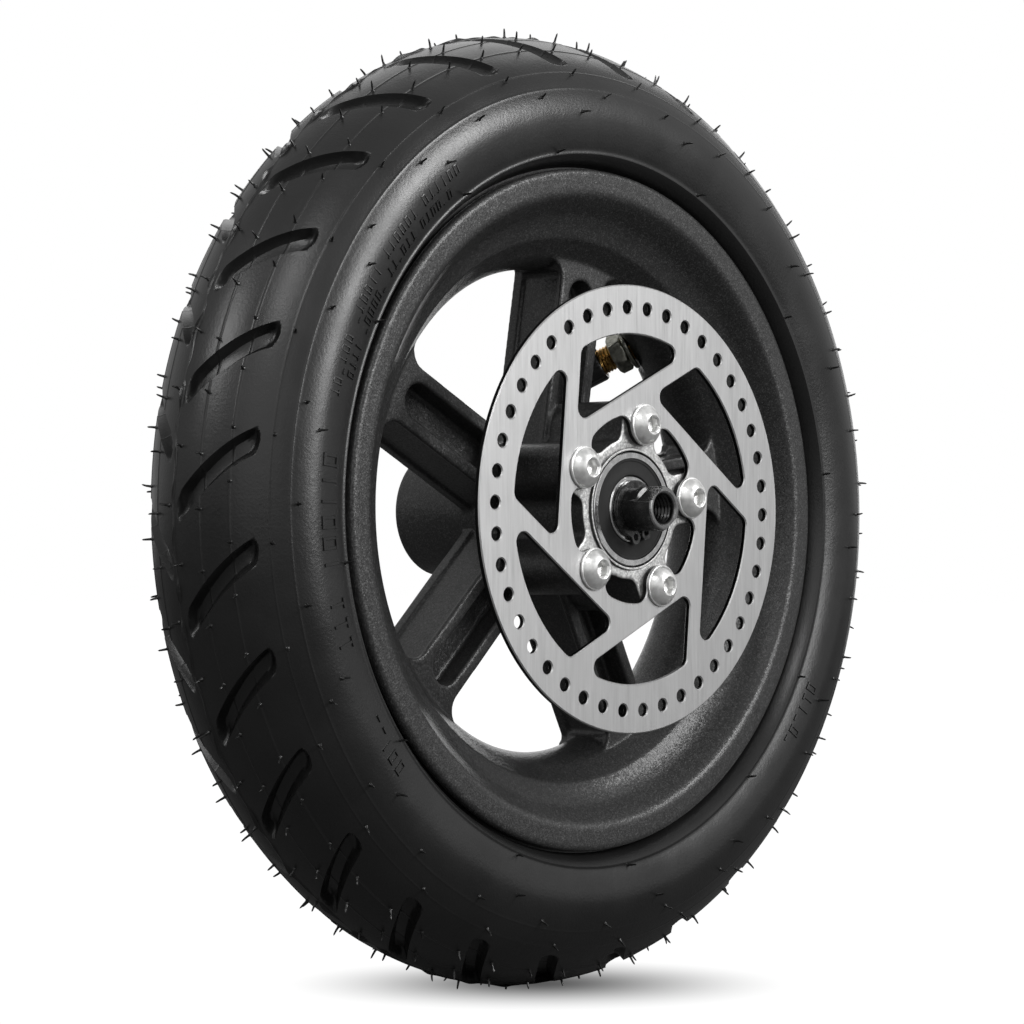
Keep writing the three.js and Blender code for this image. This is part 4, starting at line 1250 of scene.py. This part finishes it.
def cage_shells():
    """A ribbon cage: two pressed ribbons that bulge round each ball."""
    columns = BALLS * 32
    angles = np.linspace(0, 360, columns, endpoint=False)
    pitch = 360 / BALLS
    beside = (angles + pitch / 2) % pitch - pitch / 2
    along = np.radians(beside) * BALL_CIRCLE
    bulge = np.sqrt((BALL_RADIUS + 0.2) ** 2 - np.minimum(np.abs(along), BALL_RADIUS + 0.1) ** 2)
    shells = []
    for side in (-1, 1):
        middle = side * np.maximum(bulge, 0.02)
        corners = [(8.3, 0), (9.7, 0), (9.7, 0.3), (8.3, 0.3)]
        rings = [ring(radius, middle + side * rise, columns) for radius, rise in corners]
        shells.append(skin(rings, closed=True))
    return shells


def ball_shell():
    turns = np.linspace(-90, 90, 25)
    radii = BALL_RADIUS * np.cos(np.radians(turns)).clip(0)
    heights = BALL_RADIUS * np.sin(np.radians(turns))
    rings = [ring(radius, y, 48) for radius, y in zip(radii, heights)]
    return skin(rings, closed=False)


def build_bearing(side, outward):
    middle = (low(f"bearing_outer_ring_{side}")[1] + high(f"bearing_outer_ring_{side}")[1]) / 2
    place = (0, middle, 0)
    parts = [
        ("outer_race", [outer_race()], "bearing_steel", "wheel", f"bearing_outer_ring_{side}"),
        ("inner_race", [inner_race()], "bearing_steel", "axle_assembly", f"bearing_inner_ring_{side}"),
        ("outer_shield", [seal_shell(outward)], "seal_rubber", "wheel", f"bearing_outer_seal_{side}"),
        ("inner_shield", [seal_shell(-outward)], "seal_rubber", "wheel", f"bearing_inner_seal_{side}"),
        ("ribbon_cage", cage_shells(), "cage_steel", f"cage_{side}", f"bearing_cage_{side}"),
    ]
    for label, shells, finish, body, node in parts:
        name = f"{label}_{side}"
        mesh = mesh_of(name, [moved(shell, place) for shell in shells])
        piece(name, mesh, finish, body, [node])
    for i, angle in enumerate(around(BALLS)):
        name = f"steel_ball_{i + 1}_{side}"
        across, upward = polar(BALL_CIRCLE, angle)
        mesh = mesh_of(name, [moved(ball_shell(), (across, middle, upward))])
        piece(name, mesh, "bearing_steel", f"cage_{side}", [f"ball_{i + 1}_{side}"])


# ---------------------------------------------------------------- axle and circlips


def thread_rings(root, crest, pitch, start, end, segments):
    """Rings of a screw thread along Y that fades out at both ends."""
    steps = int(abs(end - start) / pitch * 10)
    turn = np.arange(segments) / segments
    rings = []
    for y in np.linspace(start, end, steps + 1):
        phase = (y / pitch - turn) % 1
        height = 1 - np.abs(2 * phase - 1)
        fade = min(1, abs(y - start) / pitch, abs(y - end) / pitch)
        radius = root + (crest - root) * height.clip(0.1, 0.9) * fade
        rings.append(ring(radius, y, segments))
    return rings


def flattened(points):
    """Ring points held between the axle's two flats."""
    out = np.array(polar(1, AXLE_FLAT_ANGLE))
    distance = points[:, [0, 2]] @ out
    excess = distance - distance.clip(-AXLE_FLAT_DISTANCE, AXLE_FLAT_DISTANCE)
    made = points.copy()
    made[:, [0, 2]] -= excess[:, None] * out
    return made


def axle_half(sign, clip_node):
    """Rings of one half of the axle, from the bottom of its bore out and back along its surface."""
    segments = 144
    end = sign * AXLE_END_Y
    floor = end - sign * 20
    rings = rings_at([(0, floor - sign), (AXLE_BORE_RADIUS, floor)], segments)
    crest = AXLE_BORE_RADIUS + AXLE_THREAD_DEPTH
    thread = (floor + sign, end - sign * 0.7)
    rings += thread_rings(AXLE_BORE_RADIUS, crest, AXLE_THREAD_PITCH, *thread, segments)
    between_flats = [
        (AXLE_BORE_RADIUS, 0.5),
        (AXLE_BORE_RADIUS + 0.5, 0.05),
        (AXLE_BORE_RADIUS + 0.56, 0),
        (AXLE_RADIUS - AXLE_CHAMFER, 0),
        (AXLE_RADIUS - AXLE_CHAMFER + 0.07, 0.03),
        (AXLE_RADIUS - 0.04, AXLE_CHAMFER),
        (AXLE_RADIUS, AXLE_CHAMFER + 0.08),
        (AXLE_RADIUS, AXLE_FLAT_LENGTH - 0.25),
    ]
    rings += [flattened(ring(radius, end - sign * back, segments)) for radius, back in between_flats]
    inner, outer = sorted([low(clip_node)[1] - 0.1, high(clip_node)[1] + 0.1], key=abs)
    shaft = [
        (AXLE_RADIUS, end - sign * (AXLE_FLAT_LENGTH + 0.05)),
        (AXLE_RADIUS, outer),
        (CLIP_GROOVE_RADIUS, outer),
        (CLIP_GROOVE_RADIUS, inner),
        (AXLE_RADIUS, inner),
    ]
    return rings + rings_at(shaft, segments)


def build_axle():
    near = axle_half(-1, "circlip_disc_side")
    far = axle_half(1, "circlip_far_side")
    mesh = mesh_of("axle_bar", [skin(near + far[::-1], closed=False)])
    piece("axle_bar", mesh, "axle_steel", "axle_assembly", ["axle"], sharp=25)


def clip_outline():
    """An open ring that gets thicker opposite its gap, with a round ear at each end."""
    inner = CLIP_GROOVE_RADIUS + 0.1
    ear = polar(CLIP_EAR_CIRCLE, CLIP_EAR_ANGLE)
    other = polar(CLIP_EAR_CIRCLE, -CLIP_EAR_ANGLE)
    gap = CLIP_EAR_ANGLE - 7
    root = CLIP_EAR_ANGLE + 14
    return np.vstack([
        arc((0, 0), CLIP_OUTER_RADIUS, root, 360 - root, 64),
        arc(other, CLIP_EAR_RADIUS, -CLIP_EAR_ANGLE - 31, 99 - CLIP_EAR_ANGLE, 16),
        arc((0, 0), inner, 360 - gap, gap, 64),
        arc(ear, CLIP_EAR_RADIUS, CLIP_EAR_ANGLE - 99, CLIP_EAR_ANGLE + 31, 16),
    ])


def build_circlip(side):
    node = f"circlip_{side}"
    ears = (CLIP_EAR_ANGLE, -CLIP_EAR_ANGLE)
    holes = [circle(CLIP_HOLE_RADIUS, 24, polar(CLIP_EAR_CIRCLE, angle)) for angle in ears]
    shells = plate(clip_outline(), holes, low(node)[1], high(node)[1], 0.1)
    mesh = mesh_of(f"snap_ring_{side}", [spun(shell, CLIP_ANGLE) for shell in shells])
    piece(f"snap_ring_{side}", mesh, "clip_steel", "axle_assembly", [node])


def build_spacer():
    start = low("spacer_tube")[1]
    end = high("spacer_tube")[1]
    corners = [(BEARING_BORE, start), (SPACER_RADIUS, start), (SPACER_RADIUS, end), (BEARING_BORE, end)]
    mesh = mesh_of("spacer_sleeve", [lathe(soften(corners, 0.4), 96)])
    piece("spacer_sleeve", mesh, "turned_steel", "axle_assembly", ["spacer_tube"])


# ---------------------------------------------------------------- valve


def on_valve(shell):
    """Places a shell made round its own Y axis on the valve's axis, which leans out of the rim."""
    wall, axis = valve_axes()
    across = np.cross(axis, [0.0, 1.0, 0.0])
    across /= np.linalg.norm(across)
    other = np.cross(across, axis)
    points, faces = shell
    turned = np.outer(points[:, 0], across) + np.outer(points[:, 1], axis) + np.outer(points[:, 2], other)
    return turned + wall, faces


def valve_stem():
    """A tube with a foot flange inside the rim, and a thread outside it."""
    segments = 64
    start = VALVE_START
    root = VALVE_RADIUS - VALVE_THREAD_DEPTH
    foot = [
        (VALVE_BORE_RADIUS, start),
        (3.9, start),
        (4.1, start + 0.2),
        (4.1, start + 1.3),
        (VALVE_RADIUS, start + 1.6),
        (VALVE_RADIUS, -1.5),
    ]
    tip = [(root, VALVE_END - 0.2), (root - 0.3, VALVE_END), (VALVE_BORE_RADIUS, VALVE_END)]
    thread = thread_rings(root, VALVE_RADIUS, VALVE_THREAD_PITCH, -1.2, VALVE_END - 0.4, segments)
    return skin(rings_at(foot, segments) + thread + rings_at(tip, segments), closed=True)


def valve_washer():
    corners = [(3.55, 0.3), (5.3, 0.3), (5.3, 1.2), (3.55, 1.2)]
    return lathe(soften(corners, 0.2), 64)


def valve_nut():
    """A hexagon nut whose corners are cut back by a cone at both ends."""
    segments = 96
    hexagonal = hexagon(NUT_FLATS, segments)
    cone = [(0, 4.25), (0.35, 4.75), (0.6, 6)]
    outside = [(np.minimum(hexagonal, widest), NUT_START + inset) for inset, widest in cone]
    outside += [(np.minimum(hexagonal, widest), NUT_END - inset) for inset, widest in cone[::-1]]
    inside = [(3.85, NUT_END), (3.55, NUT_END - 0.3), (3.55, NUT_START + 0.3), (3.85, NUT_START)]
    return skin(rings_at(outside + inside, segments), closed=True)


def valve_cap():
    """A moulded cap with fine grip ribs round its skirt."""
    segments = 144
    start = CAP_START
    turns = np.radians(np.arange(segments) * 360 / segments * CAP_RIBS)
    ribs = CAP_RADIUS - CAP_RIB_HEIGHT * (0.5 + 0.5 * np.cos(turns))
    plain = CAP_RADIUS - CAP_RIB_HEIGHT
    steps = [(0.0, 16.3), (3.45, 16.3), (3.55, 16.2), (3.55, start + 0.2), (3.7, start)]
    steps += [(plain - 0.2, start), (plain, start + 0.25), (ribs, start + 0.7), (ribs, CAP_END - 2.2)]
    steps += [(plain, CAP_END - 1.8)]
    for turn in np.linspace(10, 90, 8):
        angle = math.radians(turn)
        steps.append((3.1 + 1.25 * math.cos(angle), CAP_END - 1.5 + 1.5 * math.sin(angle)))
    steps.append((0.0, CAP_END))
    return skin(rings_at(steps, segments), closed=False)


def valve_core():
    corners = [(0.9, 8.5), (1.7, 8.5), (1.7, 14), (0.9, 14)]
    return lathe(soften(corners, 0.25), 40)


def valve_pin():
    profile = [(0, 6.6), (1.7, 6.6), (1.7, 8.2), (0.6, 8.2), (0.6, 15.4), (0.4, 15.6), (0, 15.6)]
    return lathe(soften(profile, 0.15, closed=False), 32)


def build_valve():
    parts = [
        ("stem_threaded", valve_stem(), "valve_brass", "wheel", "valve_stem"),
        ("stem_washer", valve_washer(), "nickel", "wheel", "valve_washer"),
        ("stem_nut", valve_nut(), "nickel", "wheel", "valve_nut"),
        ("stem_core", valve_core(), "valve_brass", "wheel", "valve_core"),
        ("stem_pin", valve_pin(), "valve_brass", "valve_pin", "valve_pin"),
        ("dust_cap", valve_cap(), "cap_plastic", "valve_cap", "valve_cap"),
    ]
    for name, shell, finish, body, node in parts:
        mesh = mesh_of(name, [on_valve(shell)])
        piece(name, mesh, finish, body, [node])


# ---------------------------------------------------------------- stage, light and camera

CAMERA_PLACE = (-505.54, -474.87, -13.07)
CAMERA_FORWARD = (0.72312, 0.69048, 0.018448)
CAMERA_LENS = 105.73
LAMP_DISTANCE = 1200
SHADOW_REACH = 64
SHADOW_TURN = -46.3
SHADOW_DEPTH = 0.75
SHADOW_LEVEL = 0.1
FLOOR_LEVEL = 1.06
BACKDROP_LEVEL = 1.0
AMBIENT_LEVEL = 0.47


def show(nodes, output, seen, unseen):
    """Ends a tree in a shader that the camera sees as one thing, and the object is lit by as another."""
    path = nodes.add("ShaderNodeLightPath", {})
    inputs = {"Fac": path.outputs["Is Camera Ray"], 1: unseen.outputs[0], 2: seen.outputs[0]}
    mix = nodes.add("ShaderNodeMixShader", inputs)
    nodes.add(output, {"Surface": mix.outputs[0]})


def build_world():
    world = bpy.data.worlds.new("studio")
    bpy.context.scene.world = world
    nodes = Nodes(world)
    nodes.tree.nodes.clear()
    levels = (BACKDROP_LEVEL, AMBIENT_LEVEL)
    seen, unseen = [nodes.add("ShaderNodeBackground", {"Color": rgba(level)}) for level in levels]
    show(nodes, "ShaderNodeOutputWorld", seen, unseen)


def contact_shadow(nodes):
    """The floor's brightness: darkest under the tyre, and a little shorter along the camera's view."""
    place = nodes.add("ShaderNodeTexCoord", {})
    inputs = {
        "Vector": place.outputs["Object"],
        "Rotation": (0, 0, math.radians(SHADOW_TURN)),
        "Scale": (1, SHADOW_DEPTH, 1),
    }
    mapping = nodes.add("ShaderNodeMapping", inputs, vector_type="TEXTURE")
    apart = nodes.add("ShaderNodeSeparateXYZ", {"Vector": mapping.outputs["Vector"]})
    flat = nodes.add("ShaderNodeCombineXYZ", {axis: apart.outputs[axis] for axis in ("X", "Y")})
    distance = nodes.add("ShaderNodeVectorMath", {0: flat.outputs["Vector"]}, operation="LENGTH")
    inputs = {
        "Value": distance.outputs["Value"],
        "From Max": SHADOW_REACH * MM,
        "To Min": SHADOW_LEVEL,
        "To Max": FLOOR_LEVEL,
    }
    fade = nodes.add("ShaderNodeMapRange", inputs, interpolation_type="SMOOTHSTEP")
    return fade.outputs["Result"]


def floor_finish():
    """A pale floor that the camera sees glowing almost white, with a painted contact shadow under the
    tyre; to light it is dim grey.
    """
    made = bpy.data.materials.new("pale_floor")
    nodes = Nodes(made)
    nodes.tree.nodes.clear()
    cloud = nodes.add("ShaderNodeTexNoise", {"Scale": 3})
    ramp = nodes.add("ShaderNodeMapRange", {"Value": cloud.outputs["Fac"], "To Min": 0.97, "To Max": 1.0})
    # The glow's strength carries the painted contact shadow.
    inputs = {"Color": ramp.outputs["Result"], "Strength": contact_shadow(nodes)}
    glow = nodes.add("ShaderNodeEmission", inputs)
    dim = nodes.add("ShaderNodeBsdfDiffuse", {"Color": rgba(0.12)})
    show(nodes, "ShaderNodeOutputMaterial", glow, dim)
    return made


def build_floor():
    size = 6000
    z = -TYRE_RADIUS - 0.2
    corners = np.array([(-size, -size, z), (size, -size, z), (size, size, z), (-size, size, z)], float)
    mesh = mesh_of("floor", [(corners, np.array([[0, 1, 2, 3]]))])
    mesh.materials.append(floor_finish())
    linked("floor", mesh)


def softbox(name, direction, width, height, power):
    """A rectangular light that faces the wheel from this direction. Its size is in millimetres."""
    data = bpy.data.lights.new(name, "AREA")
    data.shape = "RECTANGLE"
    data.size = width * MM
    data.size_y = height * MM
    data.energy = power
    away = Vector(direction).normalized()
    lamp = linked(name, data)
    lamp.location = away * LAMP_DISTANCE * MM
    lamp.rotation_mode = "QUATERNION"
    lamp.rotation_quaternion = (-away).to_track_quat("-Z", "Y")


def build_lights():
    softbox("key", (-0.53, -0.5, 0.68), 280, 280, 1.8)
    softbox("front_side", (0.3, -0.9, 0.22), 300, 400, 4.2)
    softbox("front_high", (0.4, -0.75, 0.5), 330, 330, 6.6)
    softbox("front_low", (0.72, -0.69, -0.12), 700, 200, 0.35)
    softbox("back_high", (0.5, 0.44, 0.74), 800, 800, 2.2)
    softbox("back_fill", (0.76, 0.64, 0.05), 900, 900, 3.0)
    softbox("left_high", (-0.85, 0.1, 0.55), 400, 400, 2.8)
    softbox("camera_side", (-0.72, -0.69, 0.35), 900, 900, 1.3)


def build_camera():
    data = bpy.data.cameras.new("camera")
    data.lens = CAMERA_LENS
    data.sensor_width = 36
    camera = linked("camera", data)
    camera.location = Vector(CAMERA_PLACE) * MM
    camera.rotation_mode = "QUATERNION"
    camera.rotation_quaternion = Vector(CAMERA_FORWARD).to_track_quat("-Z", "Y")
    bpy.context.scene.camera = camera


# ---------------------------------------------------------------- the whole scene

build_finishes()
build_tyre()
build_inner_tube()
build_casting()
build_disc()
build_bolts()
build_bearing("disc_side", -1)
build_bearing("far_side", 1)
build_axle()
build_circlip("disc_side")
build_circlip("far_side")
build_spacer()
build_valve()
build_world()
build_floor()
build_lights()
build_camera()
bpy.context.scene.view_settings.view_transform = "Standard"
